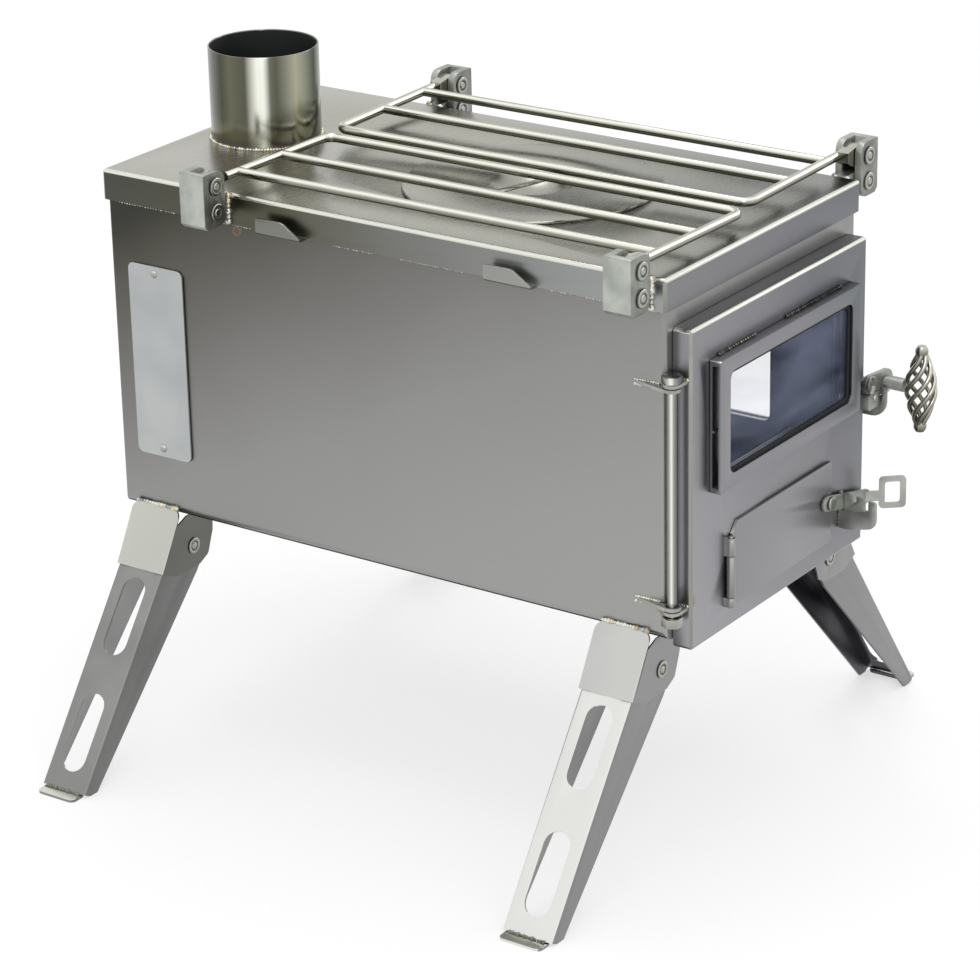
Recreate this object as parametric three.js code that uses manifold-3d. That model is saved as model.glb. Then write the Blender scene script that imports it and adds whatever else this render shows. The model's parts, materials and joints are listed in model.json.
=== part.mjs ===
// Tent wood stove: a folded stainless firebox on four folding legs, with a glazed
// door, two fold-out racks over the lid and a round cook plate.
// Millimetres, +Z up, door towards -Y. While it is built, z = 0 is the underside
// of the firebox; the last lines move the origin to the middle of the footprint.
import * as THREE from 'three';
import { mergeVertices } from 'three/addons/utils/BufferGeometryUtils.js';
import Module from 'manifold-3d';

// ---------------------------------------------------------------- driving sizes
const sheet = 1.5;              // stainless sheet of body, lid, door and legs
const gap = 0.3;                // between pieces that touch or are welded
const running = 0.3;            // radial play of a pin in its hole

// Firebox and lid
const bodyWidth = 200;
const bodyLength = 375.2;
const bodyHeight = 204.3;
const bottomFold = 8;
const cornerFold = 3;
const skirtHeight = 18.1;
const lidEdgeRadius = 3;
const lidCornerRadius = 2.5;
const hookReach = 5;            // stop hooks bent out of the skirt
const hookHeight = 9.5;
const hookLength = 30;
const hookBend = 2;             // outside radius of the bend at the hook's foot
const hookRearY = 74;           // rear end of the rear pair
const hookPitch = 153;

// Flue collar and cook plate
const collarRadius = 32.2;
const collarWall = 1.2;
const collarHeight = 54.4;
const collarFromRear = 38.4;
const cookPlateRadius = 73;
const cookPlateLap = 6;         // how far the plate overlaps the hole in the lid
const cookPlateThickness = 1.2;
const cookPlateY = -38;
const fingerCupRadius = 25;
const fingerCupDepth = 8;
const fingerBarWidth = 5;
const fingerBarTurn = -16.3;    // degrees from the X axis

// Bare plate on the left wall
const namePlateWidth = 39.5;
const namePlateHeight = 116.5;
const namePlateFromRear = 13.6;
const namePlateRise = 36.5;
const namePlateThickness = 1.2;

// Rack hinges: lug on the skirt, swinging link, lug on the rack
const pinRadius = 3;
const rivetHeadRadius = 5.2;
const rivetHeadHeight = 1;
const lugPinOut = 16.2;         // pin axis from the face of the skirt
const lugPinDrop = 5.9;         // lower pin axis below the top of the lid
const linkPitch = 14.9;         // lower pin to upper pin
const linkWidth = 17;
const linkFlange = 4.5;
const linkWeb = 4;
const linkPinToWeb = 6.5;       // pin axis to the inner face of the web
const linkPinToEdge = 8;        // pin axis to the free edge of a flange
const linkTopRise = 8.4;
const linkBottomDrop = 8.6;
const linkChamfer = 2.5;        // lower outer edge
const lugEndRadius = 6;
const frontHingeFromFront = 10.9;
const hingeSpan = 278.2;        // front hinge to rear hinge of a rack

// Racks
const rackRod = 5.4;
const rackRodSpan = 275.6;      // between the axes of the two side rods
const rackRodShift = 2.55;      // side rods off the middle of the hinges
const rackRodLift = 1.5;        // rods above the upper pin axis
const rackCentreGap = 7.8;      // free rod from the stove's centre plane
const rackInnerRodOut = 26;     // hinge-side rod from the upper pin
const rackMidRodOut = 66;
const rackLugLength = 15;
const rackLugHeight = 8.5;
const rackBendRadius = 7;
const rackDroop = 0.9;          // degrees

// Door
const doorSideInset = 7.3;      // door edge inside the side wall
const doorHeight = 182.4;
const doorDrop = 5;             // below the underside of the firebox
const doorDepth = 11.6;
const doorEdgeRadius = 2.5;
const doorCornerRadius = 3;
const doorOpeningInset = 14;    // door edge to the edge of the firebox mouth
const windowWidth = 130;
const windowHeight = 58.4;
const windowRise = 94.4;        // door's lower edge to the lower edge of the view
const windowCorner = 5;
const windowBorderX = 10;
const windowBorderZ = 8.4;
const windowFrameDepth = 6.8;
const glassThickness = 2;
const gasketThickness = 0.9;
const gasketLip = 2.2;          // gasket that shows inside the view
const glassLap = 5;             // glass held behind the border

// Main hinge: body ears and door ears on one long bolt
const hingeRodRadius = 3;
const hingeOut = 1;             // rod axis outside the left wall
const hingeForward = 5;         // rod axis in front of the front wall
const earRadius = 5;
const earThickness = 2;
const earGap = 0.6;
const bodyEarTail = 19;         // weld length along the wall
const upperEarRise = 145.6;     // underside of the upper body ear
const lowerEarRise = 21.6;
const hexAcrossFlats = 10;
const boltHeadHeight = 4;
const nutHeight = 5.2;
const nutDrop = 1.8;            // nut below the lower door ear

// Air flap in the door, its hinge, latch arm and notched keeper
const flapWidth = 107;
const flapHeight = 48.5;
const flapRise = 13;            // above the door's lower edge
const flapThickness = 1.7;
const flapCentreShift = -0.5;
const inletWidth = 88;
const inletHeight = 30;
const flapBarrelRadius = 2.5;
const flapPinRadius = 1.2;
const barrelBottomRise = 1;     // above the flap's lower edge
const barrelLength = 40.4;
const lowerKnuckle = 5.4;
const upperKnuckle = 10.4;
const flapArmHeight = 8.9;
const flapArmTilt = -13.7;      // degrees
const flapPivotInset = 3;       // from the flap's free edge
const flapPivotRise = 24.4;     // above the flap's lower edge
const flapArmTail = 4.5;
const flapArmLength = 45.6;
const ringTurn = -49;           // degrees, ring turned towards the user
const ringWidth = 15.6;
const ringHeight = 19.3;
const ringHoleWidth = 9;
const ringHoleHeight = 13;
const ringNeck = 8;
const ringLift = 1.9;          // ring's middle above the end of the arm
const keeperReach = 24;
const keeperFromPivot = 15;
const keeperThickness = 2;
const keeperTop = 39.5;         // above the door's lower edge
const keeperBottom = 17;
const keeperNotch = 2.2;
const keeperNotchPitch = 7.6;

// Door latch: lifting arm, stem and basket grip, with a catch on the right wall
const latchPivotInset = 4.2;    // from the door's right edge
const latchPivotRise = 96.5;    // above the door's lower edge
const latchPivotEnd = 5.5;
const latchReach = 18.5;
const latchDrop = 3.8;
const latchStemEnd = 7.5;
const latchThickness = 2.5;
const latchStandOff = 3.5;
const stemRadius = 4;
const gripLength = 50.9;
const gripWidth = 19.4;
const gripEndRadius = 3.85;
const gripStrand = 2.9;
const gripStrands = 6;
const gripTurns = 0.75;
const gripForward = 22;         // grip axis in front of the latch arm
const guideWidth = 12.5;
const guideHeight = 9.5;
const guideDepth = 6.2;
const guideBelowPivot = 5.5;
const catchThickness = 2.5;
const catchHeight = 18;
const catchTail = 22;           // weld length along the right wall
const catchProng = 3;
const catchCorner = 9;
const catchNotchDepth = 5.2;

// Side window in the right wall
const sideViewLength = 200;
const sideViewHeight = 100;
const sideViewFromFront = 53.6;
const sideViewRise = 51.5;
const sideBorder = 10;
const sideFrameDepth = 6;

// Legs and their brackets
const legWidth = 32.4;
const legFromEnd = 9.1;         // outer flange of the leg to the end of the body
const legSplay = 36;            // degrees from vertical
const legPinIn = 9;             // pin axis inside the side wall
const legPinDrop = 20.6;
const legPinRadius = 4;
const legLength = 159.5;        // pin axis to the foot end
const legPinToWeb = 17.5;
const legTopWidth = 30.5;
const legFootWidth = 10;
const legHubRadius = 13;
const legSlotWidth = 16.4;
const legSlotLength = 47.6;
const legSlotFromFoot = 11;
const legSlotPitch = 71.6;
const footReach = 8;
const footWidth = 27;
const footDrop = 2.3;
const bracketSheet = 1;
const bracketWeld = 4.8;        // height of the bracket on the wall
const bracketCorner = 5;        // rounding of the bracket's web at its top
const bracketNotch = 4;         // flange's outer corner below the firebox
const bracketCover = 24;        // bracket mouth below the pin, along the leg
const bracketInner = 19;        // bracket's inner edge from the pin

// Inside the firebox
const grateThickness = 3;
const grateRise = 14;
const grateClearance = 6;
const grateSlots = 11;
const grateSlotWidth = 9;
const grateRib = 14;
const grateFootWidth = 10;
const baffleDrop = 32;          // below the lid
const baffleLength = 120;
const baffleFlange = 12;

// ------------------------------------------------------------- shape helpers
const wasm = await Module();
wasm.setup();

const degrees = Math.PI / 180;
const roundStep = 18 * degrees;

function solidOf(geometry) {
  const bare = geometry.clone();
  bare.deleteAttribute('normal');
  bare.deleteAttribute('uv');
  const merged = mergeVertices(bare, 1e-4);
  return new wasm.Manifold(new wasm.Mesh({
    numProp: 3,
    vertProperties: new Float32Array(merged.attributes.position.array),
    triVerts: new Uint32Array(merged.index.array),
  }));
}

function geometryOf(solid) {
  const mesh = solid.getMesh();
  const geometry = new THREE.BufferGeometry();
  geometry.setAttribute('position', new THREE.BufferAttribute(new Float32Array(mesh.vertProperties), 3));
  geometry.setIndex(new THREE.BufferAttribute(new Uint32Array(mesh.triVerts), 1));
  geometry.computeVertexNormals();
  return geometry;
}

const join = (first, ...rest) =>
  geometryOf(rest.reduce((sum, piece) => sum.add(solidOf(piece)), solidOf(first)));
const cut = (first, ...rest) =>
  geometryOf(rest.reduce((sum, piece) => sum.subtract(solidOf(piece)), solidOf(first)));
const common = (first, ...rest) =>
  geometryOf(rest.reduce((sum, piece) => sum.intersect(solidOf(piece)), solidOf(first)));

function arc(cx, cy, radius, from, to, steps = Math.max(2, Math.ceil(Math.abs(to - from) / roundStep))) {
  const points = [];
  for (let i = 0; i <= steps; i += 1) {
    const angle = from + (to - from) * i / steps;
    points.push(new THREE.Vector2(cx + radius * Math.cos(angle), cy + radius * Math.sin(angle)));
  }
  return points;
}

const circle = (cx, cy, radius, steps = 20) => arc(cx, cy, radius, 0, 2 * Math.PI, steps).slice(0, -1);

// A polygon from [x, y] or [x, y, corner radius], with its corners rounded.
function outline(corners) {
  const points = [];
  corners.forEach(([x, y, radius = 0], index) => {
    const corner = new THREE.Vector2(x, y);
    if (radius === 0) {
      points.push(corner);
      return;
    }
    const before = corners[(index + corners.length - 1) % corners.length];
    const after = corners[(index + 1) % corners.length];
    const toBefore = new THREE.Vector2(before[0] - x, before[1] - y).normalize();
    const toAfter = new THREE.Vector2(after[0] - x, after[1] - y).normalize();
    const half = Math.acos(THREE.MathUtils.clamp(toBefore.dot(toAfter), -1, 1)) / 2;
    const bisector = toBefore.clone().add(toAfter).normalize();
    const centre = bisector.multiplyScalar(radius / Math.sin(half)).add(corner);
    const start = toBefore.multiplyScalar(radius / Math.tan(half)).add(corner).sub(centre).angle();
    const end = toAfter.multiplyScalar(radius / Math.tan(half)).add(corner).sub(centre).angle();
    const sweep = THREE.MathUtils.euclideanModulo(end - start + Math.PI, 2 * Math.PI) - Math.PI;
    points.push(...arc(centre.x, centre.y, radius, start, start + sweep));
  });
  return points;
}

const rectangle = (x0, y0, x1, y1, r = 0) => outline([[x0, y0, r], [x1, y0, r], [x1, y1, r], [x0, y1, r]]);

function extruded(points, holes, depth) {
  const shape = new THREE.Shape(points);
  shape.holes = holes.map((hole) => new THREE.Path(hole));
  return new THREE.ExtrudeGeometry(shape, { depth, bevelEnabled: false });
}

// Plates: an outline in one plane, thick along the third axis.
const plateXY = (points, z0, z1, holes = []) => extruded(points, holes, z1 - z0).translate(0, 0, z0);
const plateXZ = (points, y0, y1, holes = []) =>
  extruded(points, holes, y1 - y0).rotateX(Math.PI / 2).translate(0, y1, 0);
const alongX = new THREE.Matrix4().makeBasis(
  new THREE.Vector3(0, 1, 0), new THREE.Vector3(0, 0, 1), new THREE.Vector3(1, 0, 0));
const plateYZ = (points, x0, x1, holes = []) =>
  extruded(points, holes, x1 - x0).applyMatrix4(alongX).translate(x0, 0, 0);

const block = (x0, x1, y0, y1, z0, z1) =>
  new THREE.BoxGeometry(x1 - x0, y1 - y0, z1 - z0).translate((x0 + x1) / 2, (y0 + y1) / 2, (z0 + z1) / 2);

// A round wire along points, mitred at each one.
function wire(points, radius, sides = 10) {
  const count = points.length;
  const direction = (i) =>
    points[Math.min(i + 1, count - 1)].clone().sub(points[Math.max(i - 1, 0)]).normalize();
  let side = Math.abs(direction(0).z) > 0.9 ? new THREE.Vector3(1, 0, 0) : new THREE.Vector3(0, 0, 1);
  const position = [];
  const index = [];
  points.forEach((point, i) => {
    const along = direction(i);
    side = side.clone().addScaledVector(along, -side.dot(along)).normalize();
    const across = along.clone().cross(side);
    for (let k = 0; k < sides; k += 1) {
      const angle = 2 * Math.PI * k / sides;
      const offset = side.clone().multiplyScalar(Math.cos(angle)).addScaledVector(across, Math.sin(angle));
      position.push(...point.clone().addScaledVector(offset, radius).toArray());
    }
  });
  for (let i = 0; i < count - 1; i += 1) {
    for (let k = 0; k < sides; k += 1) {
      const a = i * sides + k;
      const b = i * sides + (k + 1) % sides;
      index.push(a, b, b + sides, a, b + sides, a + sides);
    }
  }
  const last = (count - 1) * sides;
  for (let k = 1; k < sides - 1; k += 1) {
    index.push(0, k + 1, k, last, last + k, last + k + 1);
  }
  const geometry = new THREE.BufferGeometry();
  geometry.setAttribute('position', new THREE.Float32BufferAttribute(position, 3));
  geometry.setIndex(index);
  return geometry;
}

const rodY = (x, z, radius, y0, y1, sides = 16) => plateXZ(circle(x, z, radius, sides), y0, y1);
const rodZ = (x, y, radius, z0, z1, sides = 16) => plateXY(circle(x, y, radius, sides), z0, z1);

// A rivet along Y through the walls between y0 and y1, with a head at each end.
function rivetY(x, z, shank, head, y0, y1) {
  return join(
    rodY(x, z, shank, y0 - gap - rivetHeadHeight, y1 + gap + rivetHeadHeight),
    rodY(x, z, head, y0 - gap - rivetHeadHeight, y0 - gap),
    rodY(x, z, head, y1 + gap, y1 + gap + rivetHeadHeight),
  );
}

// ------------------------------------------------------------- derived places
const wallX = bodyWidth / 2;
const endY = bodyLength / 2;
const lidTop = bodyHeight + gap + sheet;
const skirtX = wallX + gap + sheet;
const skirtY = endY + gap + sheet;
const skirtBottom = lidTop - skirtHeight;
const collarY = endY - collarFromRear;

const lowerPinX = skirtX + lugPinOut;
const lowerPinZ = lidTop - lugPinDrop;
const upperPinX = lowerPinX;
const upperPinZ = lowerPinZ + linkPitch;
const frontHingeY = -endY + frontHingeFromFront;
const rearHingeY = frontHingeY + hingeSpan;
const hingeMiddleY = (frontHingeY + rearHingeY) / 2;

const doorBack = -endY - gap;
const doorFront = doorBack - doorDepth;
const doorX = wallX - doorSideInset;
const doorBottom = -doorDrop;
const doorTop = doorBottom + doorHeight;
const viewBottom = doorBottom + windowRise;
const viewTop = viewBottom + windowHeight;
const viewX = windowWidth / 2;
const frameBack = doorFront - gap;
const frameFront = frameBack - windowFrameDepth;

const rodAxisX = -wallX - hingeOut;
const rodAxisY = -endY - hingeForward;

const flapBottom = doorBottom + flapRise;
const flapTop = flapBottom + flapHeight;
const flapLeft = flapCentreShift - flapWidth / 2;
const flapRight = flapCentreShift + flapWidth / 2;
const flapBack = doorFront - gap;
const flapFront = flapBack - flapThickness;
const barrelX = flapLeft - flapBarrelRadius - gap;
const barrelY = doorFront - gap - flapBarrelRadius;
const barrelBottom = flapBottom + barrelBottomRise;
const barrelTop = barrelBottom + barrelLength;
const flapPivotX = flapRight - flapPivotInset;
const flapPivotZ = flapBottom + flapPivotRise;
const flapArmBack = flapFront - gap;
const flapArmFront = flapArmBack - sheet;

const latchPivotX = doorX - latchPivotInset;
const latchPivotZ = doorBottom + latchPivotRise;
const latchStemX = latchPivotX + latchReach;
const latchStemZ = latchPivotZ - latchDrop;
const latchBack = doorFront - latchStandOff;
const latchFront = latchBack - latchThickness;

const legOuterY = endY - legFromEnd;
const legInnerY = legOuterY - legWidth;
const legPinX = wallX - legPinIn;
const legPinZ = -legPinDrop;

// ------------------------------------------------------------------ materials
const finish = (color, roughness, metalness) => ({ color, roughness, metalness });
const brushed = finish('#a3a29d', 0.38, 1);
const brightSteel = finish('#c9c8bd', 0.2, 1);
const castSteel = finish('#aeb0ab', 0.45, 1);
const paleAluminium = finish('#c6cccd', 0.5, 0.6);
const darkGlass = finish('#2c3444', 0.08, 0);
const blackGasket = finish('#15151a', 0.9, 0);
const sootySteel = finish('#55534f', 0.6, 0.9);

const stove = new THREE.Group();

function add(name, geometry, look) {
  const material = new THREE.MeshStandardMaterial(look);
  const mesh = new THREE.Mesh(geometry, material);
  mesh.name = name;
  stove.add(mesh);
  return mesh;
}

const mirroredX = (geometry) => {
  const copy = geometry.index ? geometry.toNonIndexed() : geometry.clone();
  copy.scale(-1, 1, 1);
  const position = copy.attributes.position;
  for (let i = 0; i < position.count; i += 3) {
    const second = new THREE.Vector3().fromBufferAttribute(position, i + 1);
    const third = new THREE.Vector3().fromBufferAttribute(position, i + 2);
    position.setXYZ(i + 1, ...third.toArray());
    position.setXYZ(i + 2, ...second.toArray());
  }
  copy.computeVertexNormals();
  return copy;
};

// ------------------------------------------------------------- body and lid
function trough(inset, top) {
  const x = wallX - inset;
  const fold = bottomFold - inset;
  return outline([[-x, inset, fold], [x, inset, fold], [x, top], [-x, top]]);
}

const sideViewFront = -endY + sideViewFromFront;
const sideViewBack = sideViewFront + sideViewLength;
const sideViewTop = sideViewRise + sideViewHeight;

function firebox() {
  const outside = common(
    plateXZ(trough(0, bodyHeight), -endY, endY),
    plateXY(rectangle(-wallX, -endY, wallX, endY, cornerFold), -1, bodyHeight + 1),
  );
  const inside = plateXZ(trough(sheet, bodyHeight + 1), -endY + sheet, endY - sheet);
  const mouthX = doorX - doorOpeningInset;
  const mouthBottom = doorBottom + doorOpeningInset;
  const mouthTop = doorTop - doorOpeningInset;
  const mouth = plateXZ(
    rectangle(-mouthX, mouthBottom, mouthX, mouthTop, bottomFold), -endY - 1, -endY + sheet + 1);
  const view = plateYZ(
    rectangle(sideViewFront, sideViewRise, sideViewBack, sideViewTop, windowCorner),
    wallX - sheet - 1, wallX + 1);
  return cut(outside, inside, mouth, view);
}

// A hook bent out of the lower edge of the skirt: a short floor and an upright ear
// whose free end slopes down towards the door.
function skirtHook(rearY) {
  const frontY = rearY - hookLength;
  const bottom = skirtBottom;
  const top = bottom + hookHeight;
  const outer = -skirtX - hookReach - sheet;
  const inner = -skirtX - hookReach;
  const section = outline([
    [outer, bottom, hookBend], [-skirtX + sheet, bottom], [-skirtX + sheet, bottom + sheet],
    [inner, bottom + sheet, hookBend / 4], [inner, top], [outer, top]]);
  const side = outline([
    [frontY, bottom], [rearY, bottom], [rearY, top, 1], [frontY + hookLength * 0.4, top, 6],
    [frontY, bottom + sheet]]);
  return common(plateXZ(section, frontY, rearY), plateYZ(side, outer - 1, -skirtX + sheet + 1));
}

function lid() {
  const rounded = (half) => outline([
    [-half, skirtBottom], [half, skirtBottom], [half, lidTop, lidEdgeRadius], [-half, lidTop, lidEdgeRadius]]);
  const outside = common(
    plateXZ(rounded(skirtX), -skirtY, skirtY),
    plateYZ(rounded(skirtY), -skirtX, skirtX),
    plateXY(rectangle(-skirtX, -skirtY, skirtX, skirtY, lidCornerRadius), skirtBottom - 1, lidTop + 1),
  );
  const inside = block(
    -skirtX + sheet, skirtX - sheet, -skirtY + sheet, skirtY - sheet, skirtBottom - 1, lidTop - sheet);
  const flueHole = rodZ(0, collarY, collarRadius - collarWall, skirtBottom, lidTop + 1, 32);
  const cookHole = rodZ(0, cookPlateY, cookPlateRadius - cookPlateLap, skirtBottom, lidTop + 1, 40);
  const hooks = [hookRearY, hookRearY - hookPitch].flatMap((y) => [skirtHook(y), mirroredX(skirtHook(y))]);
  return join(cut(outside, inside, flueHole, cookHole), ...hooks);
}

function flueCollar() {
  const z0 = lidTop + gap;
  const hole = circle(0, collarY, collarRadius - collarWall, 32);
  return plateXY(circle(0, collarY, collarRadius, 32), z0, z0 + collarHeight, [hole]);
}

// The cook plate: a disc with a dished finger cup and a bar across the cup.
function cookPlate() {
  const top = lidTop + gap + cookPlateThickness;
  const sphere = (fingerCupRadius ** 2 + fingerCupDepth ** 2) / (2 * fingerCupDepth);
  const reach = Math.asin(fingerCupRadius / sphere);
  const cupSteps = 4;
  const bowl = (drop) => Array.from({ length: cupSteps + 1 }, (unused, i) => {
    const angle = reach * i / cupSteps;
    const z = top - drop + (sphere - fingerCupDepth) - sphere * Math.cos(angle);
    return new THREE.Vector2(sphere * Math.sin(angle), z);
  });
  const profile = [
    ...bowl(cookPlateThickness),
    new THREE.Vector2(cookPlateRadius, top - cookPlateThickness),
    new THREE.Vector2(cookPlateRadius, top),
    ...bowl(0).reverse(),
  ];
  const disc = new THREE.LatheGeometry(profile, 40).rotateX(Math.PI / 2).translate(0, cookPlateY, 0);
  const bar = block(
    -fingerCupRadius - 1, fingerCupRadius + 1, -fingerBarWidth / 2, fingerBarWidth / 2, -cookPlateThickness, 0)
    .rotateZ(fingerBarTurn * degrees).translate(0, cookPlateY, top);
  return join(disc, bar);
}

function namePlate() {
  const y1 = endY - namePlateFromRear;
  const x1 = -wallX - gap;
  const corner = 4;
  return plateYZ(
    rectangle(y1 - namePlateWidth, namePlateRise, y1, namePlateRise + namePlateHeight, corner),
    x1 - namePlateThickness, x1);
}

add('firebox', firebox(), brushed);
add('lid', lid(), brushed);
add('flue_collar', flueCollar(), brightSteel);
add('cook_plate', cookPlate(), brushed);
add('side_plate_bare', namePlate(), paleAluminium);

// ------------------------------------------------------------- side window
const sideFrameIn = wallX + gap;
const sideFrameOut = sideFrameIn + sideFrameDepth;

function sideWindowFrame() {
  const view = rectangle(sideViewFront, sideViewRise, sideViewBack, sideViewTop, windowCorner);
  const pocket = block(
    sideFrameIn + sheet, sideFrameOut - sheet,
    sideViewFront - glassLap - gap, sideViewBack + sideBorder + 1,
    sideViewRise - glassLap - gap, sideViewTop + glassLap + gap);
  const outer = rectangle(
    sideViewFront - sideBorder, sideViewRise - sideBorder, sideViewBack + sideBorder, sideViewTop + sideBorder);
  return cut(plateYZ(outer, sideFrameIn, sideFrameOut, [view]), pocket);
}

function sideWindowGlass() {
  const middle = (sideFrameIn + sideFrameOut) / 2;
  return block(
    middle - glassThickness / 2, middle + glassThickness / 2,
    sideViewFront - glassLap, sideViewBack + glassLap, sideViewRise - glassLap, sideViewTop + glassLap);
}

add('side_window_frame', sideWindowFrame(), brushed);
add('side_window_glass', sideWindowGlass(), darkGlass);

// ------------------------------------------------------------- racks
const lugHalf = linkWidth / 2 - linkFlange - gap;

function rackHingeLug(y) {
  const profile = outline([
    [skirtX + gap, skirtBottom + 1.5], [lowerPinX - linkBottomDrop - 1, lowerPinZ - lugEndRadius, 2],
    [lowerPinX + lugEndRadius, lowerPinZ - lugEndRadius, lugEndRadius - 0.1],
    [lowerPinX + lugEndRadius, lowerPinZ + lugEndRadius, lugEndRadius - 0.1],
    [skirtX + gap, lowerPinZ + lugEndRadius]]);
  return plateXZ(profile, y - lugHalf, y + lugHalf, [circle(lowerPinX, lowerPinZ, pinRadius + running)]);
}

function link(y) {
  const outX = lowerPinX + linkPinToWeb + linkWeb;
  const inX = lowerPinX - linkPinToEdge;
  const top = upperPinZ + linkTopRise;
  const bottom = lowerPinZ - linkBottomDrop;
  const corner = 6;
  const channel = plateXZ(
    outline([
      [inX, bottom, corner], [outX - linkChamfer, bottom], [outX, bottom + linkChamfer], [outX, top, 1],
      [inX, top, corner]]),
    y - linkWidth / 2, y + linkWidth / 2,
    [circle(lowerPinX, lowerPinZ, pinRadius + running), circle(upperPinX, upperPinZ, pinRadius + running)]);
  const slot = linkWidth / 2 - linkFlange;
  return cut(channel, block(inX - 1, lowerPinX + linkPinToWeb, y - slot, y + slot, bottom - 1, top + 1));
}

// The side rods stand to one side of the hinges; the other rack is the same part
// turned half round.
function rack() {
  const rod = rackRod / 2;
  const freeX = rackCentreGap;
  const z = upperPinZ;
  const frontY = hingeMiddleY + rackRodShift - rackRodSpan / 2;
  const rearY = frontY + rackRodSpan;
  const at = (x, y) => new THREE.Vector3(x, y, z + rackRodLift);
  const lugEnd = upperPinX - rackLugLength;
  const bend = rackBendRadius;
  const rearCorner = arc(freeX + bend, rearY - bend, bend, Math.PI / 2, Math.PI, 5);
  const frontCorner = arc(freeX + bend, frontY + bend, bend, Math.PI, 1.5 * Math.PI, 5);
  const loop = wire([
    at(lugEnd + 1, rearY), ...rearCorner.map((p) => at(p.x, p.y)),
    ...frontCorner.map((p) => at(p.x, p.y)), at(lugEnd + 1, frontY)], rod);
  const crossRods = [rackInnerRodOut, rackMidRodOut].map((out) =>
    wire([at(upperPinX - out, frontY), at(upperPinX - out, rearY)], rod));
  const half = rackLugHeight / 2;
  const profile = outline([
    [lugEnd, z - half + 2.5], [lugEnd + 4, z - half], [upperPinX - 3, z - lugEndRadius, 1],
    [upperPinX + lugEndRadius, z - lugEndRadius, lugEndRadius - 0.1],
    [upperPinX + lugEndRadius, z + lugEndRadius, lugEndRadius - 0.1], [upperPinX - 4, z + lugEndRadius, 1],
    [lugEnd, z + half]]);
  const lugs = [frontHingeY, rearHingeY].map((y) => plateXZ(
    profile, y - lugHalf, y + lugHalf, [circle(upperPinX, upperPinZ, pinRadius + running)]));
  return join(loop, ...crossRods, ...lugs)
    .translate(-upperPinX, 0, -upperPinZ).rotateY(-rackDroop * degrees).translate(upperPinX, 0, upperPinZ);
}

const turnedHalfRound = (geometry) =>
  geometry.translate(0, -hingeMiddleY, 0).rotateZ(Math.PI).translate(0, hingeMiddleY, 0);

for (const [side, turn] of [['right', (g) => g], ['left', mirroredX]]) {
  for (const [end, y] of [['front', frontHingeY], ['rear', rearHingeY]]) {
    const y0 = y - linkWidth / 2;
    const y1 = y + linkWidth / 2;
    add(`rack_lug_${side}_${end}`, turn(rackHingeLug(y)), castSteel);
    add(`rack_link_${side}_${end}`, turn(link(y)), castSteel);
    const pinAt = (x, z) => turn(rivetY(x, z, pinRadius, rivetHeadRadius, y0, y1));
    add(`link_pin_lower_${side}_${end}`, pinAt(lowerPinX, lowerPinZ), brightSteel);
    add(`link_pin_upper_${side}_${end}`, pinAt(upperPinX, upperPinZ), brightSteel);
  }
}
add('rack_right', rack(), brightSteel);
add('rack_left', turnedHalfRound(rack()), brightSteel);

// ------------------------------------------------------------- door
// The door pan carries the two fixed knuckles of the air flap's hinge.
function doorPan() {
  const inBack = doorBack + 1;
  const across = outline([
    [-doorX, doorFront, doorEdgeRadius], [doorX, doorFront, doorEdgeRadius], [doorX, doorBack],
    [-doorX, doorBack]]);
  const upright = outline([
    [doorFront, doorBottom, doorEdgeRadius], [doorBack, doorBottom], [doorBack, doorTop],
    [doorFront, doorTop, doorEdgeRadius]]);
  const outside = common(
    plateXY(across, doorBottom, doorTop),
    plateYZ(upright, -doorX, doorX),
    plateXZ(rectangle(-doorX, doorBottom, doorX, doorTop, doorCornerRadius), doorFront - 1, doorBack + 1),
  );
  const inside = block(
    -doorX + sheet, doorX - sheet, doorFront + sheet, inBack, doorBottom + sheet, doorTop - sheet);
  const view = plateXZ(
    rectangle(-viewX, viewBottom, viewX, viewTop, windowCorner), doorFront - 1, doorFront + sheet + 1);
  const inletMiddle = (flapBottom + flapTop) / 2;
  const inletShape = rectangle(
    flapCentreShift - inletWidth / 2, inletMiddle - inletHeight / 2,
    flapCentreShift + inletWidth / 2, inletMiddle + inletHeight / 2, windowCorner);
  const inlet = plateXZ(inletShape, doorFront - 1, doorFront + sheet + 1);
  const knuckles = [[barrelBottom, barrelBottom + lowerKnuckle], [barrelTop - upperKnuckle, barrelTop]]
    .flatMap(([z0, z1]) => [
      rodZ(barrelX, barrelY, flapBarrelRadius, z0, z1),
      block(barrelX - flapBarrelRadius, barrelX, barrelY, doorFront + sheet, z0, z1)]);
  const pinHole = rodZ(barrelX, barrelY, flapPinRadius + running, barrelBottom - 1, barrelTop + 1);
  return cut(join(cut(outside, inside, view, inlet), ...knuckles), pinHole);
}

function windowFrame() {
  const view = rectangle(-viewX, viewBottom, viewX, viewTop, windowCorner);
  const outer = rectangle(
    -viewX - windowBorderX, viewBottom - windowBorderZ, viewX + windowBorderX, viewTop + windowBorderZ, 1);
  const pocket = block(
    -viewX - windowBorderX - 1, viewX + glassLap + gap, frameFront + sheet, frameBack - sheet,
    viewBottom - glassLap - gap, viewTop + glassLap + gap);
  return cut(plateXZ(outer, frameFront, frameBack, [view]), pocket);
}

const gasketFront = frameFront + sheet + gap;
const glassFront = gasketFront + gasketThickness + gap;

function windowGasket() {
  const inner = rectangle(
    -viewX + gasketLip, viewBottom + gasketLip, viewX - gasketLip, viewTop - gasketLip, windowCorner - 1);
  const outer = rectangle(-viewX - glassLap, viewBottom - glassLap, viewX + glassLap, viewTop + glassLap, 1);
  return plateXZ(outer, gasketFront, gasketFront + gasketThickness, [inner]);
}

const windowGlass = () => block(
  -viewX - glassLap, viewX + glassLap, glassFront, glassFront + glassThickness,
  viewBottom - glassLap, viewTop + glassLap);

add('door_pan', doorPan(), brushed);
add('door_window_frame', windowFrame(), brushed);
add('door_window_gasket', windowGasket(), blackGasket);
add('door_window_glass', windowGlass(), darkGlass);

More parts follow.
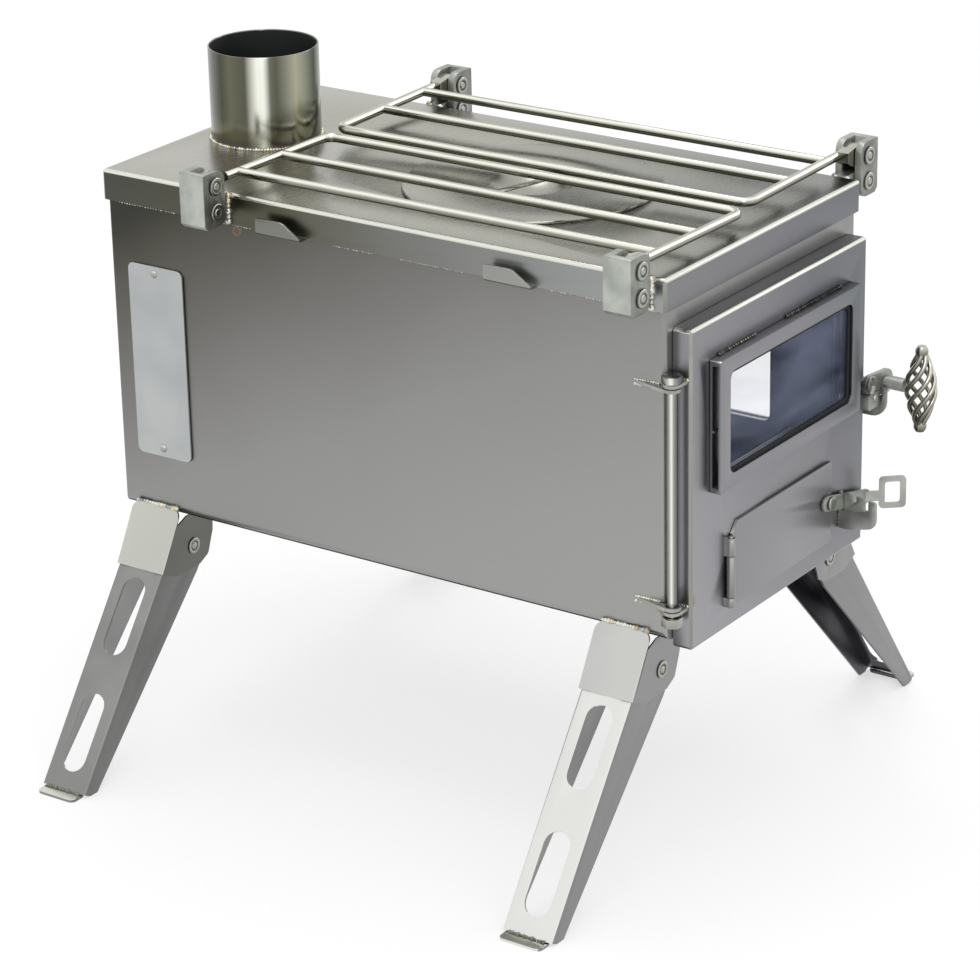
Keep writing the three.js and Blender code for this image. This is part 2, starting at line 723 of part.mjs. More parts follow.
// ------------------------------------------------------------- main hinge
function bodyEar(z) {
  const tail = outline([
    [-wallX - gap, -endY + bodyEarTail], [rodAxisX - earRadius, rodAxisY + 2], [rodAxisX, rodAxisY],
    [-wallX - gap, rodAxisY]]);
  const plate = join(
    rodZ(rodAxisX, rodAxisY, earRadius, z, z + earThickness, 24), plateXY(tail, z, z + earThickness));
  return cut(plate,
    rodZ(rodAxisX, rodAxisY, hingeRodRadius + running, z - 1, z + earThickness + 1),
    block(-wallX - gap, 0, -endY - gap, 0, z - 1, z + earThickness + 1));
}

function doorEar(z) {
  const arm = block(
    rodAxisX, -doorX - gap, rodAxisY - earRadius, rodAxisY + earRadius - 1, z, z + earThickness);
  const plate = join(rodZ(rodAxisX, rodAxisY, earRadius, z, z + earThickness, 24), arm);
  return cut(plate, rodZ(rodAxisX, rodAxisY, hingeRodRadius + running, z - 1, z + earThickness + 1));
}

const upperDoorEarZ = upperEarRise + earThickness + earGap;
const lowerDoorEarZ = lowerEarRise - earThickness - earGap;
const boltHeadZ = upperDoorEarZ + earThickness + gap;
const nutTop = lowerDoorEarZ - nutDrop;
const hexRadius = hexAcrossFlats / 2 / Math.cos(Math.PI / 6);

const hingeBolt = () => join(
  rodZ(rodAxisX, rodAxisY, hingeRodRadius, nutTop - nutHeight - 1, boltHeadZ + 1),
  rodZ(rodAxisX, rodAxisY, hexRadius, boltHeadZ, boltHeadZ + boltHeadHeight, 6));

const hingeNut = () => plateXY(
  circle(rodAxisX, rodAxisY, hexRadius, 6), nutTop - nutHeight, nutTop,
  [circle(rodAxisX, rodAxisY, hingeRodRadius + running)]);

add('hinge_ear_body_upper', bodyEar(upperEarRise), brushed);
add('hinge_ear_body_lower', bodyEar(lowerEarRise), brushed);
add('hinge_ear_door_upper', doorEar(upperDoorEarZ), brushed);
add('hinge_ear_door_lower', doorEar(lowerDoorEarZ), brushed);
add('hinge_bolt', hingeBolt(), brightSteel);
add('hinge_nut', hingeNut(), brightSteel);

// ------------------------------------------------------------- air flap
function airFlap() {
  const notch = 6;
  const plate = plateXZ(outline([
    [flapLeft, flapBottom, 1], [flapRight, flapBottom, 1], [flapRight, flapTop, 1],
    [flapLeft + notch, flapTop, 1], [flapLeft, flapTop - notch, 1]]), flapFront, flapBack);
  const z0 = barrelBottom + lowerKnuckle + gap;
  const z1 = barrelTop - upperKnuckle - gap;
  const knuckle = rodZ(barrelX, barrelY, flapBarrelRadius, z0, z1);
  const strap = block(barrelX, flapLeft + 1, flapFront, flapBack, z0, z1);
  return cut(
    join(plate, knuckle, strap),
    rodZ(barrelX, barrelY, flapPinRadius + running, z0 - 1, z1 + 1),
    rodY(flapPivotX, flapPivotZ, pinRadius + running, flapFront - 1, flapBack + 1));
}

const flapPin = () => rodZ(barrelX, barrelY, flapPinRadius, barrelBottom - 1, barrelTop + 1, 12);

// The arm hooks over the keeper; its end is turned forward into a square ring.
function flapLatchArm() {
  const half = flapArmHeight / 2;
  const strip = plateXZ(
    rectangle(-flapArmTail - half, -half, flapArmLength, half, half - 0.1),
    flapArmFront, flapArmBack, [circle(0, 0, pinRadius + running)]);
  const tilted = strip.rotateY(-flapArmTilt * degrees).translate(flapPivotX, 0, flapPivotZ);
  const bendX = flapPivotX + (flapArmLength - half) * Math.cos(flapArmTilt * degrees);
  const bendZ = flapPivotZ + (flapArmLength - half) * Math.sin(flapArmTilt * degrees);
  const neck = 3;
  const ringOuter = rectangle(
    ringNeck, ringLift - ringHeight / 2, ringNeck + ringWidth, ringLift + ringHeight / 2, 2.5);
  const side = (ringWidth - ringHoleWidth) / 2;
  const ringInner = rectangle(
    ringNeck + side, ringLift - ringHoleHeight / 2,
    ringNeck + side + ringHoleWidth, ringLift + ringHoleHeight / 2, 1.5);
  const ring = join(
    plateXZ(ringOuter, -sheet / 2, sheet / 2, [ringInner]),
    plateXZ(rectangle(-1, -neck, ringNeck + 1, neck), -sheet / 2, sheet / 2));
  return join(tilted, ring.rotateZ(ringTurn * degrees)
    .translate(bendX, (flapArmFront + flapArmBack) / 2, bendZ));
}

const keeperX = flapPivotX + keeperFromPivot;

function flapKeeper() {
  const back = doorFront - gap;
  const top = doorBottom + keeperTop;
  const bottom = doorBottom + keeperBottom;
  const front = back - keeperReach;
  const plate = plateYZ(
    outline([
      [back, bottom], [back, top], [front, top - 3, 1.2], [front, bottom + 4, 6], [back - 8, bottom, 3]]),
    keeperX - keeperThickness / 2, keeperX + keeperThickness / 2);
  const armMiddle = (flapArmFront + flapArmBack) / 2;
  const armUnderside = flapPivotZ + keeperFromPivot * Math.tan(flapArmTilt * degrees)
    - flapArmHeight / 2 / Math.cos(flapArmTilt * degrees) - 2 * gap;
  const notches = [0, 1, 2].map((i) => {
    const middle = armMiddle - i * keeperNotchPitch;
    const width = i === 0 ? sheet + 2 * gap : keeperNotch;
    const floor = i === 0 ? armUnderside : top - 3.5 * (i + 0.5);
    return block(
      keeperX - keeperThickness, keeperX + keeperThickness,
      middle - width / 2, middle + width / 2, floor, top + 1);
  });
  return cut(plate, ...notches);
}

add('air_flap', airFlap(), brushed);
add('air_flap_pin', flapPin(), brightSteel);
add('flap_latch_arm', flapLatchArm(), castSteel);
add('flap_latch_keeper', flapKeeper(), castSteel);

// The rivet's shank ends flush inside the flap, so that it clears the door pan.
add('flap_latch_rivet', join(
  rodY(flapPivotX, flapPivotZ, pinRadius, flapArmFront - gap - rivetHeadHeight, flapBack),
  rodY(flapPivotX, flapPivotZ, rivetHeadRadius - 1, flapArmFront - gap - rivetHeadHeight, flapArmFront - gap),
), brightSteel);

// ------------------------------------------------------------- door latch
function tangentPlate(x0, z0, r0, x1, z1, r1, y0, y1, hole) {
  const distance = Math.hypot(x1 - x0, z1 - z0);
  const heading = Math.atan2(z1 - z0, x1 - x0);
  const lean = Math.acos((r0 - r1) / distance);
  const points = [
    ...arc(x0, z0, r0, heading + lean, heading + 2 * Math.PI - lean),
    ...arc(x1, z1, r1, heading - lean, heading + lean)];
  return plateXZ(points, y0, y1, hole ? [hole] : []);
}

// One welded piece: the lifting arm and the stem that carries the grip.
function latchArm() {
  const plate = tangentPlate(
    latchPivotX, latchPivotZ, latchPivotEnd, latchStemX, latchStemZ, latchStemEnd, latchFront, latchBack,
    circle(latchPivotX, latchPivotZ, pinRadius + running));
  const stemEnd = latchFront - gripForward + gripWidth / 2 + gap;
  return join(plate, rodY(latchStemX, latchStemZ, stemRadius, stemEnd, latchFront + 1));
}

// Twisted strands between two round ends, open inside like a basket.
function basketGrip() {
  const gripY = latchFront - gripForward;
  const steps = 14;
  const belly = gripWidth / 2 - gripStrand / 2;
  const strands = Array.from({ length: gripStrands }, (unused, k) => {
    const points = [];
    for (let i = 0; i <= steps; i += 1) {
      const t = i / steps;
      const radius = 1.6 + (belly - 1.6) * Math.sin(Math.PI * t);
      const angle = 2 * Math.PI * (k / gripStrands + gripTurns * t);
      points.push(new THREE.Vector3(
        latchStemX + radius * Math.cos(angle), gripY + radius * Math.sin(angle),
        latchStemZ + (t - 0.5) * (gripLength - 8)));
    }
    return wire(points, gripStrand / 2, 6);
  });
  const ends = [1, -1].map((way) => {
    const z = latchStemZ + way * (gripLength / 2 - 3.5);
    return new THREE.SphereGeometry(gripEndRadius, 12, 8).rotateX(Math.PI / 2).translate(latchStemX, gripY, z);
  });
  return join(...ends, ...strands);
}

function latchPivot() {
  return join(
    rodY(latchPivotX, latchPivotZ, pinRadius, latchFront - gap - rivetHeadHeight, doorFront - gap),
    rodY(latchPivotX, latchPivotZ, rivetHeadRadius, latchFront - gap - rivetHeadHeight, latchFront - gap),
    rodY(latchPivotX, latchPivotZ, rivetHeadRadius - 1, latchBack + gap, doorFront - gap));
}

function latchGuide() {
  const top = latchPivotZ - guideBelowPivot;
  const x0 = latchPivotX - 3;
  const x1 = x0 + guideWidth;
  return cut(
    plateXZ(rectangle(x0, top - guideHeight, x1, top, 1.5), doorFront - gap - guideDepth, doorFront - gap),
    tangentPlate(
      latchPivotX, latchPivotZ, latchPivotEnd + gap, latchStemX, latchStemZ, latchStemEnd + gap,
      latchFront - gap, latchBack + gap));
}

function latchCatch() {
  const x0 = wallX + gap;
  const armY = (latchFront + latchBack) / 2;
  const front = latchFront - gap - catchProng;
  const taper = Math.asin((latchStemEnd - latchPivotEnd) / Math.hypot(latchReach, latchDrop));
  const lean = Math.atan2(latchDrop, latchReach) + taper;
  const floor = latchPivotZ - latchPivotEnd / Math.cos(lean)
    - (x0 + catchThickness - latchPivotX) * Math.tan(lean) - gap;
  const top = floor + catchNotchDepth;
  const plate = plateYZ(outline([
    [-endY + catchTail, top - catchHeight], [-endY + catchTail, top, 2], [front, top, 1.4],
    [front, top - catchHeight, catchCorner]]), x0, x0 + catchThickness);
  const notchHalf = latchThickness / 2 + gap;
  return cut(plate, block(x0 - 1, x0 + catchThickness + 1, armY - notchHalf, armY + notchHalf, floor, top + 1));
}

add('latch_arm', latchArm(), castSteel);
add('latch_grip', basketGrip(), brightSteel);
add('latch_pivot', latchPivot(), brightSteel);
add('latch_guide', latchGuide(), castSteel);
add('latch_catch', latchCatch(), castSteel);

// ------------------------------------------------------------- legs
// Leg outlines are drawn in the plane of the flanges, from the pin: s runs down
// the leg and t runs outwards, square to its web.
const splay = legSplay * degrees;
const legPoint = (s, t, r = 0) => [
  legPinX + s * Math.sin(splay) + t * Math.cos(splay),
  legPinZ - s * Math.cos(splay) + t * Math.sin(splay), r];

function legFrontRight() {
  const web = legPinToWeb;
  const y0 = -legOuterY;
  const y1 = -legInnerY;
  const flange = outline([
    legPoint(-6, web, 2), legPoint(-legHubRadius, 2, 7), legPoint(-legHubRadius + 2, web - legTopWidth, 9),
    legPoint(12, web - legTopWidth, 3), legPoint(legLength - 2, web - legFootWidth, 4),
    legPoint(legLength, web)]);
  const hollow = outline([
    legPoint(-legHubRadius - 20, web - sheet), legPoint(-legHubRadius - 20, web - legTopWidth - 20),
    legPoint(legLength + 20, web - legTopWidth - 20), legPoint(legLength + 20, web - sheet)]);
  const channel = cut(plateXZ(flange, y0, y1), plateXZ(hollow, y0 + sheet, y1 - sheet));
  const middle = (y0 + y1) / 2;
  const slots = [0, 1].map((i) => {
    const s1 = legLength - legSlotFromFoot - i * legSlotPitch;
    const half = legSlotWidth / 2;
    return plateXY(
      rectangle(middle - half, s1 - legSlotLength, middle + half, s1, half - 0.1), -4, 4)
      .applyMatrix4(slotPlane(web));
  });
  const footEnd = legPoint(legLength, web);
  const footZ = footEnd[1] - footDrop;
  const foot = join(
    plateXY(
      rectangle(footEnd[0] - 4, middle - footWidth / 2, footEnd[0] + footReach, middle + footWidth / 2, 3.5),
      footZ, footZ + sheet),
    plateXZ(outline([
      [footEnd[0] - 2.5, footZ + 0.2], [footEnd[0] + 1, footZ + 0.2], legPoint(legLength - 1, web),
      legPoint(legLength - 1, web - sheet)]), middle - footWidth / 2 + 3, middle + footWidth / 2 - 3));
  const holes = rodY(legPinX, legPinZ, legPinRadius + running, y0 - 1, y1 + 1);
  const ground = block(0, footEnd[0] + legLength, y0 - 1, y1 + 1, footZ - legLength, footZ);
  return cut(join(channel, foot), ...slots, holes, ground);
}

// Takes a slot drawn as (across the leg, down the leg) to the plane of the web.
function slotPlane(web) {
  const across = new THREE.Vector3(0, 1, 0);
  const down = new THREE.Vector3(Math.sin(splay), 0, -Math.cos(splay));
  const out = new THREE.Vector3().crossVectors(across, down);
  const origin = legPoint(0, web);
  return new THREE.Matrix4().makeBasis(across, down, out).setPosition(origin[0], 0, origin[1]);
}

// The bracket caps the leg: its web runs from a weld on the side wall to the lip
// that the splayed leg leans on, and its flanges carry the pin.
function bracketFrontRight() {
  const y0 = -legOuterY - gap - bracketSheet;
  const y1 = -legInnerY + gap + bracketSheet;
  const lip = legPoint(bracketCover, legPinToWeb + gap + bracketSheet);
  const top = [wallX + 2 * gap + bracketSheet, bracketWeld];
  const slope = new THREE.Vector2(lip[0] - top[0], lip[1] - top[1]).normalize();
  const inward = new THREE.Vector2(slope.y, -slope.x).multiplyScalar(bracketSheet);
  const web = [
    top, lip, [lip[0] + inward.x, lip[1] + inward.y], [top[0] + inward.x, top[1] + inward.y]];
  const face = outline([
    [y0, 2 * lip[1]], [y1, 2 * lip[1]], [y1, top[1], bracketCorner], [y0, top[1], bracketCorner]]);
  const down = (top[1] + bracketNotch) / -slope.y;
  const shoulder = [top[0] + slope.x * down + inward.x / 2, -bracketNotch + inward.y / 2];
  const innerX = legPinX - bracketInner;
  const flange = outline([
    shoulder, [lip[0] + inward.x / 2, lip[1] + inward.y / 2], [lip[0] - 12, lip[1] - 5.5, 3],
    [innerX + 14, lip[1] - 5, 3], [innerX + 6, lip[1] - 1, 3], [innerX + 1, legPinZ + 4, 2],
    [innerX, -gap], [wallX - 4, -gap]]);
  const hole = circle(legPinX, legPinZ, legPinRadius + running);
  return join(
    common(plateXZ(outline(web), y0, y1), plateYZ(face, wallX, 2 * wallX)),
    plateXZ(flange, y0, y0 + bracketSheet, [hole]),
    plateXZ(flange, y1 - bracketSheet, y1, [hole]));
}

function legPinFrontRight() {
  const y0 = -legOuterY - gap - bracketSheet;
  const y1 = -legInnerY + gap + bracketSheet;
  return join(
    rodY(legPinX, legPinZ, legPinRadius, y0 - gap - 0.5, y1 + gap + 0.5),
    rodY(legPinX, legPinZ, legPinRadius + 1, y0 - gap - 0.5, y0 - gap),
    rodY(legPinX, legPinZ, legPinRadius + 1, y1 + gap, y1 + gap + 0.5));
}

const shiftToRear = legOuterY + legInnerY;
for (const [side, turn] of [['right', (g) => g], ['left', mirroredX]]) {
  for (const [end, shift] of [['front', 0], ['rear', shiftToRear]]) {
    add(`leg_bracket_${side}_${end}`, turn(bracketFrontRight().translate(0, shift, 0)), brushed);
    add(`leg_${side}_${end}`, turn(legFrontRight().translate(0, shift, 0)), brushed);
    add(`leg_pin_${side}_${end}`, turn(legPinFrontRight().translate(0, shift, 0)), brightSteel);
  }
}

// ------------------------------------------------------------- inside
function grate() {
  const x = wallX - sheet - grateClearance;
  const y = endY - sheet - grateClearance;
  const z0 = sheet + grateRise;
  const pitch = 2 * (y - grateRib) / grateSlots;
  const slots = Array.from({ length: grateSlots }, (unused, i) => {
    const middle = -y + grateRib + pitch * (i + 0.5);
    return rectangle(
      -x + grateRib, middle - grateSlotWidth / 2, x - grateRib, middle + grateSlotWidth / 2,
      grateSlotWidth / 2 - 0.1);
  });
  const foot = grateFootWidth;
  const feet = [[-x + 6, -y], [x - 6 - foot, -y], [-x + 6, y - foot], [x - 6 - foot, y - foot]]
    .map(([x0, y0]) => block(x0, x0 + foot, y0, y0 + foot, sheet + gap, z0 + 1));
  return join(plateXY(rectangle(-x, -y, x, y, 4), z0, z0 + grateThickness, slots), ...feet);
}

function flameBaffle() {
  const x = wallX - sheet - gap;
  const y1 = endY - sheet - gap;
  const y0 = y1 - baffleLength;
  const z = bodyHeight - baffleDrop;
  return join(
    block(-x, x, y0, y1, z - sheet, z),
    block(-x, -x + sheet, y0, y1, z - sheet, z + baffleFlange),
    block(x - sheet, x, y0, y1, z - sheet, z + baffleFlange));
}

add('grate', grate(), sootySteel);
add('flame_baffle', flameBaffle(), sootySteel);

// The origin is the middle of the footprint, on the ground.
stove.updateMatrixWorld(true);
const reach = new THREE.Box3().setFromObject(stove);
stove.position.set(-(reach.min.x + reach.max.x) / 2, -(reach.min.y + reach.max.y) / 2, -reach.min.z);
stove.updateMatrixWorld(true);

export default stove;
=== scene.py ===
import json
import math

import bmesh
import bpy
from mathutils import Matrix, Vector

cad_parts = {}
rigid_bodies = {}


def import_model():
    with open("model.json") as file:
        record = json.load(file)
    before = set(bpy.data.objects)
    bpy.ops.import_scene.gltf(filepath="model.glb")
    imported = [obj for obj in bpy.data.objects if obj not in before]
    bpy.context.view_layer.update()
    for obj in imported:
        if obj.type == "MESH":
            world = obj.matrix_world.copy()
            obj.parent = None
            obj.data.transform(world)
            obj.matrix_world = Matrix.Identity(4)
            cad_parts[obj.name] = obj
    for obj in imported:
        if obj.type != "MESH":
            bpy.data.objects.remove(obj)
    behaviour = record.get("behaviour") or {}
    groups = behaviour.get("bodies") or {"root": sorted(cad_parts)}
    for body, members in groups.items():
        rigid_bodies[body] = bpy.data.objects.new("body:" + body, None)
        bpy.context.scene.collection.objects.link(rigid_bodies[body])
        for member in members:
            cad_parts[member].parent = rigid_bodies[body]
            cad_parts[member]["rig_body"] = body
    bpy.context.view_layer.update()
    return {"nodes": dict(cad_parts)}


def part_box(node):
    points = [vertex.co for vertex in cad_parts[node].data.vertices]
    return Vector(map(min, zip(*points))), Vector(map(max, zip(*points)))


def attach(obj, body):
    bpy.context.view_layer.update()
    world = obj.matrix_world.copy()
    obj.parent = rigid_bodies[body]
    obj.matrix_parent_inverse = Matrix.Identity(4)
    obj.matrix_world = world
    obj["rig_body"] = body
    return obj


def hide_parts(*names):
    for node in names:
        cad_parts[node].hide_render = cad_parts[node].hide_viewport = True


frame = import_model()
nodes = frame["nodes"]
MM = 0.001

# The frame's origin is on the ground: the firebox's underside and middle are here.
BODY_LOW, BODY_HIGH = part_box("firebox")
MID_Y = (BODY_LOW.y + BODY_HIGH.y) / 2
FLOOR_Z = BODY_LOW.z


def at(x, y, z):
    """A point in millimetres from the middle of the firebox's underside."""
    return Vector((x * MM, MID_Y + y * MM, FLOOR_Z + z * MM))


# Places of the CAD model, in millimetres: the middles of the leg brackets and of the racks'
# lugs, front and rear, the collar's axis, the lid's top and the pins that the racks turn on.
BRACKET_Y = (-162.3, 162.3)
LUG_Y = (-176.7, 101.5)
COLLAR_AXIS = (0, 149.2)
LID_TOP = 206.0
PIN_X, PIN_Z = 118.0, 215.1

# How far a sheet's grain reaches along X, Y and Z, in millimetres.
GRAIN_ACROSS = (20, 1, 1)
GRAIN_LENGTHWAYS = (1, 20, 1)
GRAIN_UPRIGHT = (1, 1, 20)


# ---------------------------------------------------------------- node helpers
def linear(hex_colour):
    """sRGB hex to the linear RGBA that Blender's sockets take."""
    parts = [int(hex_colour[i:i + 2], 16) / 255 for i in (1, 3, 5)]
    return [c / 12.92 if c <= 0.04045 else ((c + 0.055) / 1.055) ** 2.4 for c in parts] + [1.0]


def add(tree, kind, settings=None, **links):
    """Adds a node. settings hold its properties, constants for its inputs by name or
    number, and a ramp's stops. links feed inputs by name or by number (_0), from a node's
    first live output or from a named socket."""
    node = tree.nodes.new(kind)
    settings = dict(settings or {})
    stops = settings.pop("stops", [])
    for key in [k for k in settings if isinstance(k, str) and k in node.bl_rna.properties]:
        setattr(node, key, settings.pop(key))

    def entry(key):
        if isinstance(key, int):
            return node.inputs[key]
        return next(s for s in node.inputs if s.enabled and s.name == key)

    for key, value in settings.items():
        entry(key).default_value = linear(value) if isinstance(value, str) else value
    for key, source in links.items():
        if not isinstance(source, bpy.types.NodeSocket):
            source = next(s for s in source.outputs if s.enabled)
        tree.links.new(source, entry(int(key[1:]) if key[0] == "_" else key.replace("_", " ")))
    if stops:
        elements = node.color_ramp.elements
        while len(elements) < len(stops):
            elements.new(0.5)
        for element, (position, value) in zip(elements, stops):
            element.position = position
            element.color = linear(value) if isinstance(value, str) else [value, value, value, 1.0]
    return node


def new_material(name, **constants):
    """A material with one Principled shader, and the object's own coordinates."""
    material = bpy.data.materials.new(name)
    material.use_nodes = True
    tree = material.node_tree
    tree.nodes.clear()
    settings = {key.replace("_", " "): value for key, value in constants.items()}
    shader = add(tree, "ShaderNodeBsdfPrincipled", settings)
    add(tree, "ShaderNodeOutputMaterial", Surface=shader)
    place = add(tree, "ShaderNodeTexCoord").outputs["Object"]
    return material, tree, shader, place


def plug(tree, shader, **sources):
    """Feeds the shader's named inputs."""
    for key, source in sources.items():
        tree.links.new(source.outputs[0] if isinstance(source, bpy.types.Node) else source,
                       shader.inputs[key.replace("_", " ")])


def seen_rays(tree):
    """1 for what the camera sees, directly, mirrored or through glass, and 0 for the rest."""
    path = add(tree, "ShaderNodeLightPath").outputs
    relayed = add(tree, "ShaderNodeMath", {"operation": "MAXIMUM"},
                  _0=path["Is Glossy Ray"], _1=path["Is Transmission Ray"])
    return add(tree, "ShaderNodeMath", {"operation": "MAXIMUM"}, _0=path["Is Camera Ray"], _1=relayed)


def heat_tinted(tree, base, place, marks):
    """Heat tint on a base colour, at each welded spot: rust red in the middle, then plum, and
    straw round it, with a ragged edge. marks are (point, reach in millimetres)."""
    for point, reach in marks:
        away = add(tree, "ShaderNodeVectorMath", {"operation": "DISTANCE", 1: point}, _0=place)
        ragged = add(tree, "ShaderNodeTexNoise", {"Scale": 1 / (3 * MM), "Detail": 2.0}, Vector=place)
        spread = add(tree, "ShaderNodeMath", {"operation": "MULTIPLY_ADD", 1: 4 * MM, 2: -2 * MM},
                     _0=ragged)
        edge = add(tree, "ShaderNodeMath", {"operation": "ADD"}, _0=away.outputs["Value"], _1=spread)
        near = add(tree, "ShaderNodeMapRange", {"From Min": 0.0, "From Max": reach * MM}, Value=edge)
        tint = add(tree, "ShaderNodeValToRGB", {"stops": [
            (0.0, "#8e4a33"), (0.35, "#6f5a5c"), (0.6, "#9c8a62"), (1.0, "#a5a18c")]}, Fac=near)
        amount = add(tree, "ShaderNodeValToRGB", {"stops": [(0.0, 0.75), (0.45, 0.45), (1.0, 0.0)]},
                     Fac=near)
        base = add(tree, "ShaderNodeMix", {"data_type": "RGBA"}, Factor=amount, A=base, B=tint)
    return base


# ---------------------------------------------------------------- finishes
def satin_sheet(name, stops, start, end, grain, marks=(), cloud=0.1, rough=0.3):
    """Cold-rolled stainless sheet with a satin grind: metal with a soft broad sheen, a grain
    that runs one way, and a slow change of tone from start to end, which is painted reflection
    and shade. The grain is 0.1 mm wide in the real sheet and drawn 1 mm wide, so that it shows."""
    material, tree, shader, place = new_material(name, Metallic=1.0)
    axis = end - start
    aim = add(tree, "ShaderNodeVectorMath", {"operation": "SUBTRACT", 1: start}, _0=place)
    reach = add(tree, "ShaderNodeVectorMath",
                {"operation": "DOT_PRODUCT", 1: axis / axis.length_squared}, _0=aim)
    clouds = add(tree, "ShaderNodeTexNoise", {"Scale": 1 / (55 * MM), "Detail": 3.0}, Vector=place)
    drift = add(tree, "ShaderNodeMath", {"operation": "MULTIPLY_ADD", 1: cloud, 2: -cloud / 2},
                _0=clouds)
    tone = add(tree, "ShaderNodeMath", {"operation": "ADD"}, _0=reach.outputs["Value"], _1=drift)
    # painted reflection and shade from start to end
    base = add(tree, "ShaderNodeValToRGB", {"stops": stops}, Fac=tone)
    stretch = add(tree, "ShaderNodeMapping", {"Scale": [1 / (size * MM) for size in grain]},
                  Vector=place)
    lines = add(tree, "ShaderNodeTexNoise", {"Scale": 1.0, "Detail": 2.0}, Vector=stretch)
    streak = add(tree, "ShaderNodeValToRGB", {"stops": [(0.3, 0.3), (0.7, 0.68)]}, Fac=lines)
    base = add(tree, "ShaderNodeMix", {"data_type": "RGBA", "blend_type": "SOFT_LIGHT", "Factor": 0.07},
               A=base, B=streak)
    base = heat_tinted(tree, base, place, marks)
    rough = add(tree, "ShaderNodeMath", {"operation": "MULTIPLY_ADD", 1: 0.12, 2: rough}, _0=lines)
    relief = add(tree, "ShaderNodeBump", {"Strength": 0.04, "Distance": 0.3 * MM}, Height=lines)
    plug(tree, shader, Base_Color=base.outputs[2], Roughness=rough, Normal=relief)
    return material


def painted_light_by_facing(tree, place, stops, patch):
    """A colour by which way the metal faces, down (0) to up (1), with soft patches of a size
    in millimetres: a painted highlight where it faces up, and painted shade underneath."""
    normal = add(tree, "ShaderNodeTexCoord").outputs["Normal"]
    upward = add(tree, "ShaderNodeSeparateXYZ", Vector=normal).outputs["Z"]
    clouds = add(tree, "ShaderNodeTexNoise", {"Scale": 1 / (patch * MM), "Detail": 2.0}, Vector=place)
    # painted light: lighter as the normal turns up, darker as it turns down
    tilt = add(tree, "ShaderNodeMath", {"operation": "MULTIPLY_ADD", 1: 0.5, 2: 0.45}, _0=upward)
    facing = add(tree, "ShaderNodeMath", {"operation": "MULTIPLY_ADD", 1: 0.1}, _0=clouds, _2=tilt)
    return add(tree, "ShaderNodeValToRGB", {"stops": stops}, Fac=facing)


def fold_painted_highlight(name, stops):
    """Folded and cut edges of the sheet, with a painted highlight where they face up and grey at
    the sides, smoother than the panels."""
    material, tree, shader, place = new_material(name, Metallic=1.0)
    nicks = add(tree, "ShaderNodeTexNoise", {"Scale": 1 / (12 * MM), "Detail": 3.0}, Vector=place)
    rough = add(tree, "ShaderNodeMath", {"operation": "MULTIPLY_ADD", 1: 0.15, 2: 0.16}, _0=nicks)
    plug(tree, shader, Base_Color=painted_light_by_facing(tree, place, stops, 30), Roughness=rough)
    return material


def polished_rod(name, stops, rough=0.14):
    """Polished stainless wire, or a turned pin: a painted highlight along its top, grey at its
    sides, and painted shade below."""
    material, tree, shader, place = new_material(name, Metallic=1.0)
    grain = add(tree, "ShaderNodeTexNoise", {"Scale": 1 / (1 * MM), "Detail": 2.0}, Vector=place)
    gloss = add(tree, "ShaderNodeMath", {"operation": "MULTIPLY_ADD", 1: 0.12, 2: rough - 0.05},
                _0=grain)
    plug(tree, shader, Base_Color=painted_light_by_facing(tree, place, stops, 45), Roughness=gloss)
    return material


def tube_painted_reflections(name, stops, axis_point):
    """Polished stainless, round and upright: painted reflections in bands of light and dark round
    its axis, and over its lowest 16 mm a heat tint, straw, plum and olive upwards from the weld."""
    material, tree, shader, place = new_material(name, Metallic=1.0)
    centred = add(tree, "ShaderNodeVectorMath", {"operation": "SUBTRACT", 1: axis_point}, _0=place)
    around = add(tree, "ShaderNodeTexGradient", {"gradient_type": "RADIAL"}, Vector=centred)
    # painted reflections round the axis
    base = add(tree, "ShaderNodeValToRGB", {"stops": stops}, Fac=around)
    height = add(tree, "ShaderNodeSeparateXYZ", Vector=centred).outputs["Z"]
    low = add(tree, "ShaderNodeMapRange", {"From Min": 0.0, "From Max": 16 * MM}, Value=height)
    tint = add(tree, "ShaderNodeValToRGB", {"stops": [
        (0.0, "#8b7a52"), (0.2, "#6f6b72"), (0.4, "#8f8660"), (1.0, "#a5a390")]}, Fac=low)
    amount = add(tree, "ShaderNodeValToRGB", {"stops": [(0.0, 0.75), (0.5, 0.3), (1.0, 0.0)]}, Fac=low)
    base = add(tree, "ShaderNodeMix", {"data_type": "RGBA"}, Factor=amount, A=base, B=tint)
    smear = add(tree, "ShaderNodeTexNoise", {"Scale": 1 / (12 * MM), "Detail": 3.0}, Vector=place)
    rough = add(tree, "ShaderNodeMath", {"operation": "MULTIPLY_ADD", 1: 0.14, 2: 0.1}, _0=smear)
    plug(tree, shader, Base_Color=base.outputs[2], Roughness=rough)
    return material


def tumbled_casting(name, shades):
    """Investment-cast stainless, tumbled: pale, matte and slightly pitted. The pits are
    0.2 mm in the casting and drawn 0.7 mm wide, so that they show."""
    material, tree, shader, place = new_material(name, Metallic=1.0)
    pits = add(tree, "ShaderNodeTexNoise", {"Scale": 1 / (0.7 * MM), "Detail": 3.0}, Vector=place)
    patch = add(tree, "ShaderNodeTexNoise", {"Scale": 1 / (16 * MM), "Detail": 3.0}, Vector=place)
    base = add(tree, "ShaderNodeValToRGB", {"stops": [(0.35, shades[0]), (0.65, shades[1])]}, Fac=patch)
    dark = add(tree, "ShaderNodeValToRGB", {"stops": [(0.62, 0.0), (0.75, 0.45)]}, Fac=pits)
    base = add(tree, "ShaderNodeMix", {"data_type": "RGBA", "B": "#5d605c"}, Factor=dark, A=base)
    rough = add(tree, "ShaderNodeMath", {"operation": "MULTIPLY_ADD", 1: 0.2, 2: 0.36}, _0=patch)
    relief = add(tree, "ShaderNodeBump", {"Strength": 0.25, "Distance": 0.3 * MM}, Height=pits)
    plug(tree, shader, Base_Color=base.outputs[2], Roughness=rough, Normal=relief)
    return material


